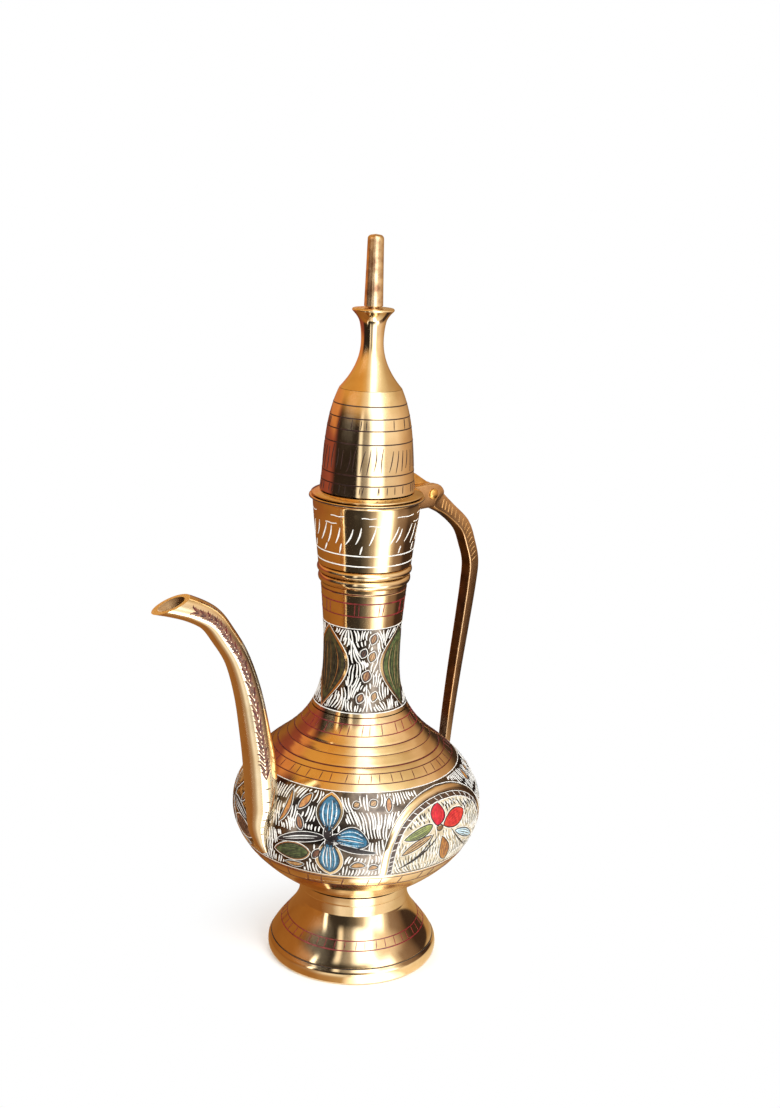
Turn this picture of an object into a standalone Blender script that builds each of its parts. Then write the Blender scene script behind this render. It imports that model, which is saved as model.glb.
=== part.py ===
"""Lidded brass jug: turned body on a foot, bent spout, bar handle and a hinged lid. Metres, +Z up."""
import math

import bmesh
import bpy
from mathutils import Matrix, Vector

# Making
SEGMENTS = 40
ROD_SEGMENTS = 24
GAP = 0.0003
WALL = 0.0014

# Foot
FOOT_RADIUS = 0.0275
FOOT_RIM_HEIGHT = 0.0036
FOOT_HEIGHT = 0.025
WAIST_RADIUS = 0.0177
WAIST_HEIGHT = 0.0205
FOOT_SPIGOT_DEPTH = 0.0025

# Belly
BELLY_RADIUS = 0.0396
LOWER_BOWL_HEIGHT = 0.0262
SEAM_LAP = 0.002
SHOULDER_HEIGHT = 0.0327
SHOULDER_TURN_HEIGHT = 0.0205
SHOULDER_TURN_RADIUS = 0.0266
SHOULDER_TURN_SLOPE = -1.33
BOWL_MOUTH_RADIUS = 0.0153
BOWL_MOUTH_SLOPE = -0.5

# Neck and its double bead
NECK_LENGTH = 0.0399
NECK_WAIST_RADIUS = 0.0119
NECK_WAIST_HEIGHT = 0.0155
NECK_TOP_RADIUS = 0.01345
NECK_SPIGOT_DEPTH = 0.004
CUP_SPIGOT_DEPTH = 0.003
BEAD_HEIGHT = 0.0026
BEAD_RADIUS = 0.0148

# Cup
CUP_HEIGHT = 0.0212
CUP_FOOT_RADIUS = 0.01445
CUP_TOP_RADIUS = 0.0165
LIP_HEIGHT = 0.0026
LIP_RADIUS = 0.01775

# Lid
LID_WALL = 0.0013
LID_FLANGE_THICKNESS = 0.0012
LID_FLANGE_RADIUS = 0.0172
SKIRT_DEPTH = 0.004
SKIRT_CLEARANCE = 0.0005
DOME_SPIGOT_HEIGHT = 0.002
DOME_HEIGHT = 0.0309
DOME_RADIUS = 0.0146
DOME_TOP_RADIUS = 0.0095
STEM_HEIGHT = 0.0236
STEM_BASE_RADIUS = 0.0094
STEM_WAIST_RADIUS = 0.0034
STEM_WAIST_HEIGHT = 0.0138
STEM_FLANGE_RADIUS = 0.00635
STEM_FLANGE_THICKNESS = 0.0013
STEM_SPIGOT_DEPTH = 0.002
FINIAL_LENGTH = 0.0211
FINIAL_RADIUS = 0.0028
FINIAL_TIP_RADIUS = 0.0023
TENON_RADIUS = 0.0014
TENON_DEPTH = 0.0036

# Hinge
PIN_RADIUS = 0.001
PIN_HEAD_RADIUS = 0.0018
PIN_HEAD_THICKNESS = 0.0007
HINGE_OFFSET = 0.00865
HINGE_DROP = 0.0028
BARREL_RADIUS = 0.0028
TONGUE_THICKNESS = 0.0024
EAR_THICKNESS = 0.0017
FORK_DEPTH = 0.0082
FORK_DROP = 0.0006

# Handle
HANDLE_REACH = 0.0513
HANDLE_KNEE_DROP = 0.0261
HANDLE_FOOT_HEIGHT = 0.0555
HANDLE_TOP_SIZE = 0.0046
HANDLE_KNEE_SIZE = 0.0042
HANDLE_FOOT_SIZE = 0.0024
HANDLE_FOOT_WIDTH = 0.0034

# Spout
SPOUT_REACH = 0.0807
SPOUT_LIP_HEIGHT = 0.132
SPOUT_LIP_LENGTH = 0.0132
SPOUT_LIP_SLOPE = 0.16
SPOUT_ROOT_HEIGHT = 0.045
SPOUT_BASE_LENGTH = 0.0173
SPOUT_BASE_RADIUS = 0.005
SPOUT_TIP_RADIUS = 0.0037
SPOUT_WALL = 0.0011
SPOUT_SIDES = 16

# Colours
BRASS = (0.80, 0.56, 0.19, 1.0)
BRASS_ROUGHNESS = 0.24

# Heights that follow from the pieces, each seated on the one below
Z_BOWL = FOOT_HEIGHT + GAP
Z_BELLY = Z_BOWL + LOWER_BOWL_HEIGHT
Z_BOWL_TOP = Z_BELLY + GAP + SHOULDER_HEIGHT
Z_NECK = Z_BOWL_TOP + GAP
Z_NECK_TOP = Z_NECK + NECK_LENGTH
Z_BEAD_1 = Z_NECK_TOP + GAP
Z_BEAD_2 = Z_BEAD_1 + BEAD_HEIGHT + GAP
Z_CUP = Z_BEAD_2 + BEAD_HEIGHT + GAP
Z_LIP = Z_CUP + CUP_HEIGHT
Z_FLANGE = Z_LIP + GAP
Z_DOME = Z_FLANGE + LID_FLANGE_THICKNESS + GAP
Z_STEM = Z_DOME + DOME_HEIGHT + GAP
Z_FINIAL = Z_STEM + STEM_HEIGHT + GAP
HINGE_X = LIP_RADIUS + HINGE_OFFSET
HINGE_Z = Z_LIP - HINGE_DROP
AXIS_X = (SPOUT_REACH - HANDLE_REACH) / 2
FORK_WIDTH = TONGUE_THICKNESS + 2 * GAP + 2 * EAR_THICKNESS


def hermite(a, b, t):
    """Value at t between two ends given as (position, value, slope)."""
    span = b[0] - a[0]
    t2 = t * t
    t3 = t2 * t
    value = (2 * t3 - 3 * t2 + 1) * a[1] + (t3 - 2 * t2 + t) * span * a[2]
    return value + (3 * t2 - 2 * t3) * b[1] + (t3 - t2) * span * b[2]


def sweep_line(a, b, count):
    """Points (radius, height) from a to b along one smooth run, both ends included."""
    return [(hermite(a, b, i / count), a[0] + (b[0] - a[0]) * i / count) for i in range(count + 1)]


def offset(points, distance):
    """Points moved square to the line through them, to its left when distance is positive."""
    moved = []
    for i, (r, z) in enumerate(points):
        before = points[max(i - 1, 0)]
        after = points[min(i + 1, len(points) - 1)]
        run = math.hypot(after[0] - before[0], after[1] - before[1])
        moved.append((r - distance * (after[1] - before[1]) / run, z + distance * (after[0] - before[0]) / run))
    return moved


def material(name, tone, roughness):
    mat = bpy.data.materials.new(name)
    mat.use_nodes = True
    shader = mat.node_tree.nodes["Principled BSDF"]
    shader.inputs["Base Color"].default_value = tuple(c * tone for c in BRASS[:3]) + (1.0,)
    shader.inputs["Metallic"].default_value = 1.0
    shader.inputs["Roughness"].default_value = roughness
    return mat


def add_object(name, bm, parent, tone=1.0, roughness=BRASS_ROUGHNESS):
    bmesh.ops.recalc_face_normals(bm, faces=bm.faces)
    mesh = bpy.data.meshes.new(name)
    bm.to_mesh(mesh)
    bm.free()
    mesh.shade_smooth()
    mesh.set_sharp_from_angle(angle=math.radians(30))
    obj = bpy.data.objects.new(name, mesh)
    bpy.context.collection.objects.link(obj)
    mesh.materials.append(material(name + "_brass", tone, roughness))
    obj.parent = parent
    obj.location = -parent_place(parent)
    return obj


def parent_place(parent):
    """Where the parent stands on the jug's own axis frame."""
    return Vector((0, 0, 0)) if parent.parent is None else parent.location.copy()


def turned(name, profile, parent, closed, segments=SEGMENTS, **look):
    """Body of revolution about the jug's axis from (radius, height) points."""
    bm = bmesh.new()
    verts = [bm.verts.new((r, 0, z)) for r, z in profile]
    edges = [bm.edges.new(pair) for pair in zip(verts, verts[1:])]
    if closed:
        edges.append(bm.edges.new((verts[-1], verts[0])))
    bmesh.ops.spin(bm, geom=verts + edges, cent=(0, 0, 0), axis=(0, 0, 1), angle=2 * math.pi,
                   steps=segments, use_merge=True, use_duplicate=False)
    bmesh.ops.remove_doubles(bm, verts=bm.verts, dist=0.000002)
    return add_object(name, bm, parent, **look)


def smooth_path(stations, per):
    """Catmull-Rom run through stations of equal length tuples."""
    path = []
    for i in range(len(stations) - 1):
        p0 = stations[max(i - 1, 0)]
        p1 = stations[i]
        p2 = stations[i + 1]
        p3 = stations[min(i + 2, len(stations) - 1)]
        for k in range(per):
            t = k / per
            path.append(tuple(
                0.5 * (2 * b + (c - a) * t + (2 * a - 5 * b + 4 * c - d) * t * t
                       + (3 * b - a - 3 * c + d) * t * t * t)
                for a, b, c, d in zip(p0, p1, p2, p3)))
    path.append(stations[-1])
    return path


def swept(name, path, section, parent, **look):
    """Solid swept along points (x, z, ...) in the plane of spout and handle."""
    bm = bmesh.new()
    rings = []
    for i, point in enumerate(path):
        before = path[max(i - 1, 0)]
        after = path[min(i + 1, len(path) - 1)]
        run = Vector((after[0] - before[0], 0, after[1] - before[1])).normalized()
        side = Vector((-run.z, 0, run.x))
        centre = Vector((point[0], 0, point[1]))
        rings.append([bm.verts.new(centre + side * u + Vector((0, v, 0))) for u, v in section(point)])
    for low, high in zip(rings, rings[1:]):
        for k in range(len(low)):
            n = (k + 1) % len(low)
            bm.faces.new((low[k], low[n], high[n], high[k]))
    bm.faces.new(rings[0])
    bm.faces.new(rings[-1])
    return add_object(name, bm, parent, **look)


def round_section(point):
    """Round section with the radius as the third value of the point."""
    steps = [2 * math.pi * (k + 0.5) / SPOUT_SIDES for k in range(SPOUT_SIDES)]
    return [(point[2] * math.cos(a), point[2] * math.sin(a)) for a in steps]


def bar_section(point):
    """Bar with eased edges: depth and width are the third and fourth values."""
    u = point[2] / 2
    v = point[3] / 2
    e = min(u, v) * 0.3
    return [(u, v - e), (u - e, v), (e - u, v), (-u, v - e), (-u, e - v), (e - u, -v), (u - e, -v), (u, e - v)]


def box(name, low, high, parent):
    bm = bmesh.new()
    bmesh.ops.create_cube(bm, size=1.0)
    size = Vector(high) - Vector(low)
    bmesh.ops.scale(bm, vec=size, verts=bm.verts)
    bmesh.ops.translate(bm, vec=(Vector(high) + Vector(low)) / 2, verts=bm.verts)
    return add_object(name, bm, parent)


def cross_rod(name, radius, length, parent):
    """Cylinder along Y through the hinge's axis."""
    bm = bmesh.new()
    bmesh.ops.create_cone(bm, cap_ends=True, segments=ROD_SEGMENTS, radius1=radius, radius2=radius, depth=length)
    bmesh.ops.rotate(bm, verts=bm.verts, cent=(0, 0, 0), matrix=Matrix.Rotation(math.pi / 2, 3, "X"))
    bmesh.ops.translate(bm, verts=bm.verts, vec=(HINGE_X, 0, HINGE_Z))
    return add_object(name, bm, parent)


def as_cutter(obj):
    obj.hide_render = True
    obj.display_type = "WIRE"
    obj.modifiers.new("flat_faces", "TRIANGULATE")
    return obj


def cut(obj, cutter):
    if not obj.modifiers:
        obj.modifiers.new("flat_faces", "TRIANGULATE")
    mod = obj.modifiers.new("cut_" + cutter.name, "BOOLEAN")
    mod.operation = "DIFFERENCE"
    mod.solver = "EXACT"
    mod.object = cutter


def empty(name, place, parent=None):
    obj = bpy.data.objects.new(name, None)
    obj.empty_display_size = 0.02
    bpy.context.collection.objects.link(obj)
    obj.parent = parent
    obj.location = place
    return obj


# Profiles of the turned pieces, outside first

def foot_outside():
    rim = [(FOOT_RADIUS, 0), (FOOT_RADIUS * 0.994, FOOT_RIM_HEIGHT * 0.85)]
    flare = sweep_line((FOOT_RIM_HEIGHT, FOOT_RADIUS * 0.975, -0.75), (WAIST_HEIGHT, WAIST_RADIUS, 0.0), 6)
    return rim + flare + [(foot_top_radius(), FOOT_HEIGHT)]


def foot_top_radius():
    return WAIST_RADIUS + (FOOT_HEIGHT - WAIST_HEIGHT) * 0.12


def lower_bowl_outside():
    start = foot_top_radius()
    rise = 2 * (BELLY_RADIUS - start) / LOWER_BOWL_HEIGHT
    return sweep_line((Z_BOWL, start, rise), (Z_BELLY, BELLY_RADIUS, 0.0), 8)


def upper_bowl_outside():
    turn = (Z_BELLY + SHOULDER_TURN_HEIGHT, SHOULDER_TURN_RADIUS, SHOULDER_TURN_SLOPE)
    over = sweep_line((Z_BELLY, BELLY_RADIUS, 0.0), turn, 6)
    into = sweep_line(turn, (Z_BOWL_TOP, BOWL_MOUTH_RADIUS, BOWL_MOUTH_SLOPE), 4)
    return over + into[1:]


def neck_outside():
    start = BOWL_MOUTH_RADIUS + BOWL_MOUTH_SLOPE * GAP
    waist = (Z_NECK + NECK_WAIST_HEIGHT, NECK_WAIST_RADIUS, 0.0)
    low = sweep_line((Z_NECK, start, BOWL_MOUTH_SLOPE), waist, 5)
    high = sweep_line(waist, (Z_NECK_TOP, NECK_TOP_RADIUS, 0.08), 3)
    return low + high[1:]


def cup_outside():
    under_lip = Z_LIP - LIP_HEIGHT
    wall = sweep_line((Z_CUP, CUP_FOOT_RADIUS, 0.1), (under_lip - 0.0005, CUP_TOP_RADIUS, 0.08), 4)
    ease = LIP_HEIGHT * 0.2
    lip = [(LIP_RADIUS - ease, under_lip), (LIP_RADIUS, under_lip + ease),
           (LIP_RADIUS, Z_LIP - ease), (LIP_RADIUS - ease, Z_LIP)]
    return wall + lip


def dome_outside():
    return sweep_line((Z_DOME, DOME_RADIUS, -0.12), (Z_DOME + DOME_HEIGHT, DOME_TOP_RADIUS, -0.45), 6)


def stem_outside():
    waist = (Z_STEM + STEM_WAIST_HEIGHT, STEM_WAIST_RADIUS, 0.0)
    under = Z_STEM + STEM_HEIGHT - STEM_FLANGE_THICKNESS
    low = sweep_line((Z_STEM, STEM_BASE_RADIUS, -0.95), waist, 6)
    high = sweep_line(waist, (under, STEM_WAIST_RADIUS * 1.4, 0.3), 3)
    flange = [(STEM_FLANGE_RADIUS, under), (STEM_FLANGE_RADIUS, Z_STEM + STEM_HEIGHT)]
    return low + high[1:] + flange


def clear_scene():
    for obj in list(bpy.data.objects):
        bpy.data.objects.remove(obj, do_unlink=True)


def build_body(axis):
    """Foot, belly, neck, beads and cup, each registered in the next by a spigot or a lap."""
    outside = foot_outside()
    inside = offset(outside[1:], WALL)
    inside[-1] = (foot_top_radius() - WALL, FOOT_HEIGHT)
    throat = inside[-1][0]
    turned("foot", outside + inside[::-1] + [(FOOT_RADIUS - WALL, 0)], axis, True, tone=0.97)

    skin = (WALL - GAP) / 2
    outside = lower_bowl_outside()
    inside = offset(outside, WALL)[1:-1]
    rebate_floor = Z_BELLY - SEAM_LAP - GAP
    rebate = [(BELLY_RADIUS - skin, Z_BELLY), (BELLY_RADIUS - skin, rebate_floor),
              (BELLY_RADIUS - WALL, rebate_floor)]
    bottom = Z_BOWL + WALL
    inside = [p for p in inside if bottom + WALL / 2 < p[1] < rebate_floor - WALL / 2]
    spigot = throat - GAP
    boss = [(0, Z_BOWL - FOOT_SPIGOT_DEPTH), (spigot, Z_BOWL - FOOT_SPIGOT_DEPTH), (spigot, Z_BOWL)]
    floor = [(inside[0][0] - WALL, bottom), (0, bottom)]
    turned("lower_bowl", boss + outside + rebate + inside[::-1] + floor, axis, False)

    outside = upper_bowl_outside()
    inside = offset(outside, WALL)[1:-1]
    lap_outer = BELLY_RADIUS - skin - GAP
    lap_inner = BELLY_RADIUS - WALL
    seam = Z_BELLY + GAP
    lap = [(lap_inner, Z_BELLY - SEAM_LAP), (lap_outer, Z_BELLY - SEAM_LAP), (lap_outer, seam), (BELLY_RADIUS, seam)]
    mouth_bore = BOWL_MOUTH_RADIUS - WALL
    inside = [p for p in inside if p[1] > seam and p[0] > mouth_bore + WALL / 4]
    upper = turned("upper_bowl", lap + outside[1:] + [(mouth_bore, Z_BOWL_TOP)] + inside[::-1], axis, True)

    outside = neck_outside()
    bore = [(r - WALL, z) for r, z in outside]
    low = mouth_bore - GAP
    high = CUP_FOOT_RADIUS - WALL - GAP
    top = Z_CUP + CUP_SPIGOT_DEPTH
    profile = [(low, Z_NECK - NECK_SPIGOT_DEPTH), (low, Z_NECK)] + outside
    profile += [(high, Z_NECK_TOP), (high, top), (high - WALL, top)]
    profile += [p for p in bore[::-1] if p[0] < low - WALL and Z_NECK + WALL < p[1] < Z_NECK_TOP - WALL]
    profile += [(low - WALL, Z_NECK - NECK_SPIGOT_DEPTH)]
    turned("neck", profile, axis, True)

    hole = high + GAP
    for name, base in (("neck_bead_lower", Z_BEAD_1), ("neck_bead_upper", Z_BEAD_2)):
        ease = BEAD_HEIGHT * 0.28
        bead = [(hole, base), (BEAD_RADIUS - ease, base), (BEAD_RADIUS, base + ease),
                (BEAD_RADIUS, base + BEAD_HEIGHT - ease), (BEAD_RADIUS - ease, base + BEAD_HEIGHT),
                (hole, base + BEAD_HEIGHT)]
        turned(name, bead, axis, True, tone=0.96)

    outside = cup_outside()
    mouth = CUP_TOP_RADIUS - WALL
    inside = [(r - WALL, z) for r, z in outside[:5]]
    turned("mouth_cup", outside + [(mouth, Z_LIP)] + inside[::-1], axis, True)
    return upper


def build_lid(hinge):
    """Rim with its skirt, dome, stem and finial, all carried by the hinge."""
    skirt = CUP_TOP_RADIUS - WALL - SKIRT_CLEARANCE
    spigot = DOME_RADIUS - LID_WALL - GAP
    bore = spigot - LID_WALL
    top = Z_FLANGE + LID_FLANGE_THICKNESS
    ease = LID_FLANGE_THICKNESS * 0.25
    rim = [(bore, Z_FLANGE - SKIRT_DEPTH), (skirt, Z_FLANGE - SKIRT_DEPTH), (skirt, Z_FLANGE),
           (LID_FLANGE_RADIUS - ease, Z_FLANGE), (LID_FLANGE_RADIUS, Z_FLANGE + ease),
           (LID_FLANGE_RADIUS, top - ease), (LID_FLANGE_RADIUS - ease, top), (spigot, top),
           (spigot, top + DOME_SPIGOT_HEIGHT), (bore, top + DOME_SPIGOT_HEIGHT)]
    turned("lid_rim", rim, hinge, True, tone=1.03)

    outside = dome_outside()
    hole = DOME_TOP_RADIUS - LID_WALL
    inside = [(r - LID_WALL, z) for r, z in outside]
    inside[0] = (DOME_RADIUS - LID_WALL, Z_DOME)
    spigot_top = top + DOME_SPIGOT_HEIGHT + GAP
    inside = [p for p in inside if p[1] > spigot_top + LID_WALL]
    step = [(inside[0][0], spigot_top), (DOME_RADIUS - LID_WALL, spigot_top), (DOME_RADIUS - LID_WALL, Z_DOME)]
    turned("lid_dome", outside + inside[::-1] + step, hinge, True)

    outside = stem_outside()
    socket = TENON_RADIUS + GAP
    base = hole - GAP
    top = Z_STEM + STEM_HEIGHT
    profile = [(0, Z_STEM - STEM_SPIGOT_DEPTH), (base, Z_STEM - STEM_SPIGOT_DEPTH), (base, Z_STEM)] + outside
    floor = top - TENON_DEPTH - GAP
    profile += [(socket, top), (socket, floor), (0, floor)]
    turned("lid_stem", profile, hinge, False)

    end = Z_FINIAL + FINIAL_LENGTH
    profile = [(0, Z_FINIAL - TENON_DEPTH), (TENON_RADIUS, Z_FINIAL - TENON_DEPTH), (TENON_RADIUS, Z_FINIAL),
               (FINIAL_RADIUS, Z_FINIAL)]
    for k in range(5):
        a = math.radians(22.5 * k)
        profile.append((FINIAL_TIP_RADIUS * math.cos(a), end - FINIAL_TIP_RADIUS * (1 - math.sin(a))))
    profile[-1] = (0, end)
    turned("finial", profile, hinge, False, segments=ROD_SEGMENTS, tone=1.04)


def build_tongue(hinge, pin_hole):
    """Hinge leaf: a barrel round the pin and a web that climbs to the dome."""
    flange_top = Z_FLANGE + LID_FLANGE_THICKNESS
    outline = [(DOME_RADIUS - LID_WALL, flange_top - GAP), (LID_FLANGE_RADIUS + 2 * GAP, flange_top + GAP)]
    for k in range(17):
        a = math.radians(170 + 250 * k / 16)
        outline.append((HINGE_X + BARREL_RADIUS * math.cos(a), HINGE_Z + BARREL_RADIUS * math.sin(a)))
    shoulder = flange_top + BARREL_RADIUS
    outline += [(LID_FLANGE_RADIUS + BARREL_RADIUS, shoulder), (DOME_RADIUS - LID_WALL, shoulder + GAP * 4)]
    bm = bmesh.new()
    face = bm.faces.new([bm.verts.new((x, -TONGUE_THICKNESS / 2, z)) for x, z in outline])
    grown = bmesh.ops.extrude_face_region(bm, geom=[face])["geom"]
    moved = [g for g in grown if isinstance(g, bmesh.types.BMVert)]
    bmesh.ops.translate(bm, verts=moved, vec=(0, TONGUE_THICKNESS, 0))
    tongue = add_object("lid_tongue", bm, hinge, tone=0.98)
    dome = offset(dome_outside(), -GAP)
    reach = LID_FLANGE_RADIUS + GAP
    clear = [(0, Z_LIP), (reach, Z_LIP), (reach, flange_top + GAP), (dome[0][0], flange_top + GAP)]
    lid_space = as_cutter(turned("lid_space", clear + dome[1:] + [(0, dome[-1][1])], hinge, False))
    cut(tongue, lid_space)
    cut(tongue, pin_hole)


def build_pin(axis):
    """Hinge pin with a peened head at each end."""
    half = FORK_WIDTH / 2 + GAP
    outer = half + PIN_HEAD_THICKNESS
    neck = PIN_HEAD_RADIUS * 0.75
    steps = [(0, -outer), (neck, -outer), (PIN_HEAD_RADIUS, -half - PIN_HEAD_THICKNESS / 3),
             (PIN_HEAD_RADIUS, -half), (PIN_RADIUS, -half)]
    profile = steps + [(r, -y) for r, y in steps[::-1]]
    bm = bmesh.new()
    verts = [bm.verts.new((r, y, 0)) for r, y in profile]
    edges = [bm.edges.new(pair) for pair in zip(verts, verts[1:])]
    bmesh.ops.spin(bm, geom=verts + edges, cent=(0, 0, 0), axis=(0, 1, 0), angle=2 * math.pi,
                   steps=ROD_SEGMENTS, use_merge=True, use_duplicate=False)
    bmesh.ops.remove_doubles(bm, verts=bm.verts, dist=0.000002)
    bmesh.ops.translate(bm, verts=bm.verts, vec=(HINGE_X, 0, HINGE_Z))
    add_object("hinge_pin", bm, axis, tone=0.9, roughness=0.3)


def belly_radius(z):
    """Outer radius of the belly at a height on it."""
    points = lower_bowl_outside() + upper_bowl_outside()[1:]
    for (r0, z0), (r1, z1) in zip(points, points[1:]):
        if z0 <= z <= z1:
            return r0 + (r1 - r0) * (z - z0) / (z1 - z0)
    return points[-1][0]


def build_handle(axis, belly_space, pin_hole):
    """Bar from the cup's fork, out to the knee and down to the belly."""
    depth = HANDLE_FOOT_SIZE / 2
    knee_x = HANDLE_REACH - HANDLE_KNEE_SIZE / 2
    knee_z = HINGE_Z - HANDLE_KNEE_DROP
    foot_x = belly_radius(HANDLE_FOOT_HEIGHT) + depth
    fork_z = HINGE_Z - FORK_DROP
    stations = [(CUP_TOP_RADIUS - WALL, fork_z, FORK_DEPTH, FORK_WIDTH),
                (HINGE_X + BARREL_RADIUS * 0.7, fork_z, FORK_DEPTH, FORK_WIDTH),
                (HINGE_X + BARREL_RADIUS * 1.7, fork_z - BARREL_RADIUS, FORK_DEPTH * 0.74, FORK_WIDTH * 0.86)]
    size = HANDLE_TOP_SIZE
    for out, down in ((0.434, 0.26), (0.75, 0.487), (0.904, 0.743), (1.0, 1.0)):
        stations.append((HINGE_X + (knee_x - HINGE_X) * out, HINGE_Z + (knee_z - HINGE_Z) * down,
                         size + (HANDLE_KNEE_SIZE - size) * down, size + (HANDLE_KNEE_SIZE - size) * down))
    for back, down in ((0.061, 0.121), (0.276, 0.306), (0.582, 0.55), (0.847, 0.8), (1.0, 1.0)):
        stations.append((knee_x + (foot_x - knee_x) * back, knee_z + (HANDLE_FOOT_HEIGHT - knee_z) * down,
                         HANDLE_KNEE_SIZE + (HANDLE_FOOT_SIZE - HANDLE_KNEE_SIZE) * down,
                         HANDLE_KNEE_SIZE + (HANDLE_FOOT_WIDTH - HANDLE_KNEE_SIZE) * down))
    handle = swept("handle", smooth_path(stations, 2), bar_section, axis, tone=0.98)

    cup = offset(cup_outside(), -GAP)
    ear_top = Z_LIP + FORK_DEPTH
    cup_space = as_cutter(turned("cup_space", [(0, Z_CUP)] + cup[:-1] + [(LIP_RADIUS + GAP, ear_top), (0, ear_top)],
                                 axis, False))
    slot = TONGUE_THICKNESS / 2 + GAP
    fork_slot = as_cutter(box("fork_slot", (0, -slot, HINGE_Z - BARREL_RADIUS - GAP),
                              (HINGE_X + 2 * BARREL_RADIUS + 2 * GAP, slot, ear_top), axis))
    for cutter in (belly_space, cup_space, fork_slot, pin_hole):
        cut(handle, cutter)


def build_spout(axis, belly_space, upper_bowl):
    """Bent tube: a tail that hugs the belly, a riser and a mouth cut nearly level."""
    root = []
    for share, out, size in ((0.0, 0.03, 0.2), (0.25, 0.17, 0.42), (0.575, 0.42, 0.66), (1.0, 0.84, 0.97)):
        z = SPOUT_ROOT_HEIGHT + SPOUT_BASE_LENGTH * share
        root.append((-belly_radius(z) - SPOUT_BASE_RADIUS * out, z, SPOUT_BASE_RADIUS * size))
    start_x = root[-1][0]
    start_z = root[-1][1]
    end_x = SPOUT_LIP_LENGTH / 2 - SPOUT_REACH
    end_z = SPOUT_LIP_HEIGHT + SPOUT_LIP_LENGTH / 2 * SPOUT_LIP_SLOPE
    riser = []
    for out, up in ((0.027, 0.167), (0.104, 0.307), (0.172, 0.502), (0.3, 0.671), (0.46, 0.794),
                    (0.6, 0.883), (0.79, 0.95), (1.0, 1.0), (1.22, 1.045)):
        shrink = min(1.0, max(0.0, (up - 0.1) / 0.57))
        size = SPOUT_BASE_RADIUS * 1.03 * (1 - shrink) + SPOUT_TIP_RADIUS * shrink
        riser.append((start_x + (end_x - start_x) * out, start_z + (end_z - start_z) * up, size))
    spout = swept("spout", smooth_path(root + riser, 2), round_section, axis, tone=1.02)

    hole_z = start_z - SPOUT_BASE_LENGTH * 0.2
    hole_size = (SPOUT_BASE_RADIUS - SPOUT_WALL) * 0.8
    inner = [(start_x + SPOUT_BASE_RADIUS * 2.6, hole_z - SPOUT_BASE_RADIUS * 0.7, hole_size),
             (start_x + SPOUT_BASE_RADIUS * 1.0, hole_z, hole_size)]
    inner += [(x, z, size - SPOUT_WALL) for x, z, size in riser]
    inner.append((2 * inner[-1][0] - inner[-2][0], 2 * inner[-1][1] - inner[-2][1], inner[-1][2]))
    bore = as_cutter(swept("spout_bore", smooth_path(inner, 2), round_section, axis))
    mouth = as_cutter(box("spout_mouth", (-SPOUT_LIP_LENGTH * 3, -SPOUT_LIP_LENGTH, 0),
                          (SPOUT_LIP_LENGTH * 3, SPOUT_LIP_LENGTH, SPOUT_LIP_LENGTH * 2), axis))
    mouth.location = (end_x, 0, end_z)
    mouth.rotation_euler = (0, -math.atan(SPOUT_LIP_SLOPE), 0)
    for cutter in (belly_space, bore, mouth):
        cut(spout, cutter)
    cut(upper_bowl, bore)


def main():
    clear_scene()
    axis = empty("jug_axis", (AXIS_X, 0, 0))
    hinge = empty("lid_hinge_axis", (HINGE_X, 0, HINGE_Z), axis)
    upper_bowl = build_body(axis)
    belly = offset(lower_bowl_outside() + upper_bowl_outside()[1:], -GAP)
    belly_space = as_cutter(turned("belly_space", [(0, belly[0][1])] + belly + [(0, belly[-1][1])], axis, False))
    pin_hole = as_cutter(cross_rod("pin_hole", PIN_RADIUS + GAP, FORK_WIDTH * 3, axis))
    build_lid(hinge)
    build_tongue(hinge, pin_hole)
    build_pin(axis)
    build_handle(axis, belly_space, pin_hole)
    build_spout(axis, belly_space, upper_bowl)
    bpy.context.view_layer.update()


main()
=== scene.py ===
"""Looks of a lidded brass jug: fine turned brass, engraved rings and lac inlay. Sizes are in millimetres."""
import random
from math import cos, degrees, hypot, log, pi, radians, sin

import bmesh
import bpy
from mathutils import Matrix, Vector


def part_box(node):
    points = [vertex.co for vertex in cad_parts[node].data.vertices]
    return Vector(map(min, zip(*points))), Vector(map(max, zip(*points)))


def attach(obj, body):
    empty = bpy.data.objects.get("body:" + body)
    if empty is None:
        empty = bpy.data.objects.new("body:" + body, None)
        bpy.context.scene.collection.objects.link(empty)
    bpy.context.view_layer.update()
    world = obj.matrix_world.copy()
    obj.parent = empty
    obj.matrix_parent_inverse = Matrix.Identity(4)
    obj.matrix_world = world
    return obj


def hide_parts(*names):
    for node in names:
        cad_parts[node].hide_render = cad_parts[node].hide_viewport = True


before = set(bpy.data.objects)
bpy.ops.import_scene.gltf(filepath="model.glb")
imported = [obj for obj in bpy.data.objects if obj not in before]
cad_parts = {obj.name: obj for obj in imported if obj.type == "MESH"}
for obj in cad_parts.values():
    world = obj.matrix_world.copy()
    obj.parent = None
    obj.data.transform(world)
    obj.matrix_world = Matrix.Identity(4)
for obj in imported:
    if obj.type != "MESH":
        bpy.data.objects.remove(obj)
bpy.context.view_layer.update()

MM = 0.001
GAP = 0.3
WALL = 1.4
LID_WALL = 1.3
SEGMENTS = 192
ROD_SEGMENTS = 64
RING_STEPS = 180
PATH_STEPS = 8
SHARP = 32
INLAY_SHARP = 40

# Where the jug's axis stands in the frame, and the hinge beside it
foot_low, foot_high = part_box("foot")
AXIS_X = (foot_low[0] + foot_high[0]) / 2 / MM
HINGE_RHO = 26.4
HINGE_Z = 149.2

# Photograph's view: the camera is placed round the jug's axis
CAMERA_DISTANCE = 449.0
CAMERA_HEIGHT = 250.0
CAMERA_TURN = 225.5
CAMERA_PITCH = 14.57
CAMERA_YAW = 0.99
CAMERA_ROLL = 2.25
IMAGE_HEIGHT = 1108
FOCAL_PIXELS = 1500.0
SENSOR = 36.0

# Top of the foot and the belly's widest line
FOOT_TOP_Z = 25.0
FOOT_TOP_RADIUS = 18.24
BELLY_Z = 51.5
BELLY_RADIUS = 39.6

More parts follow.
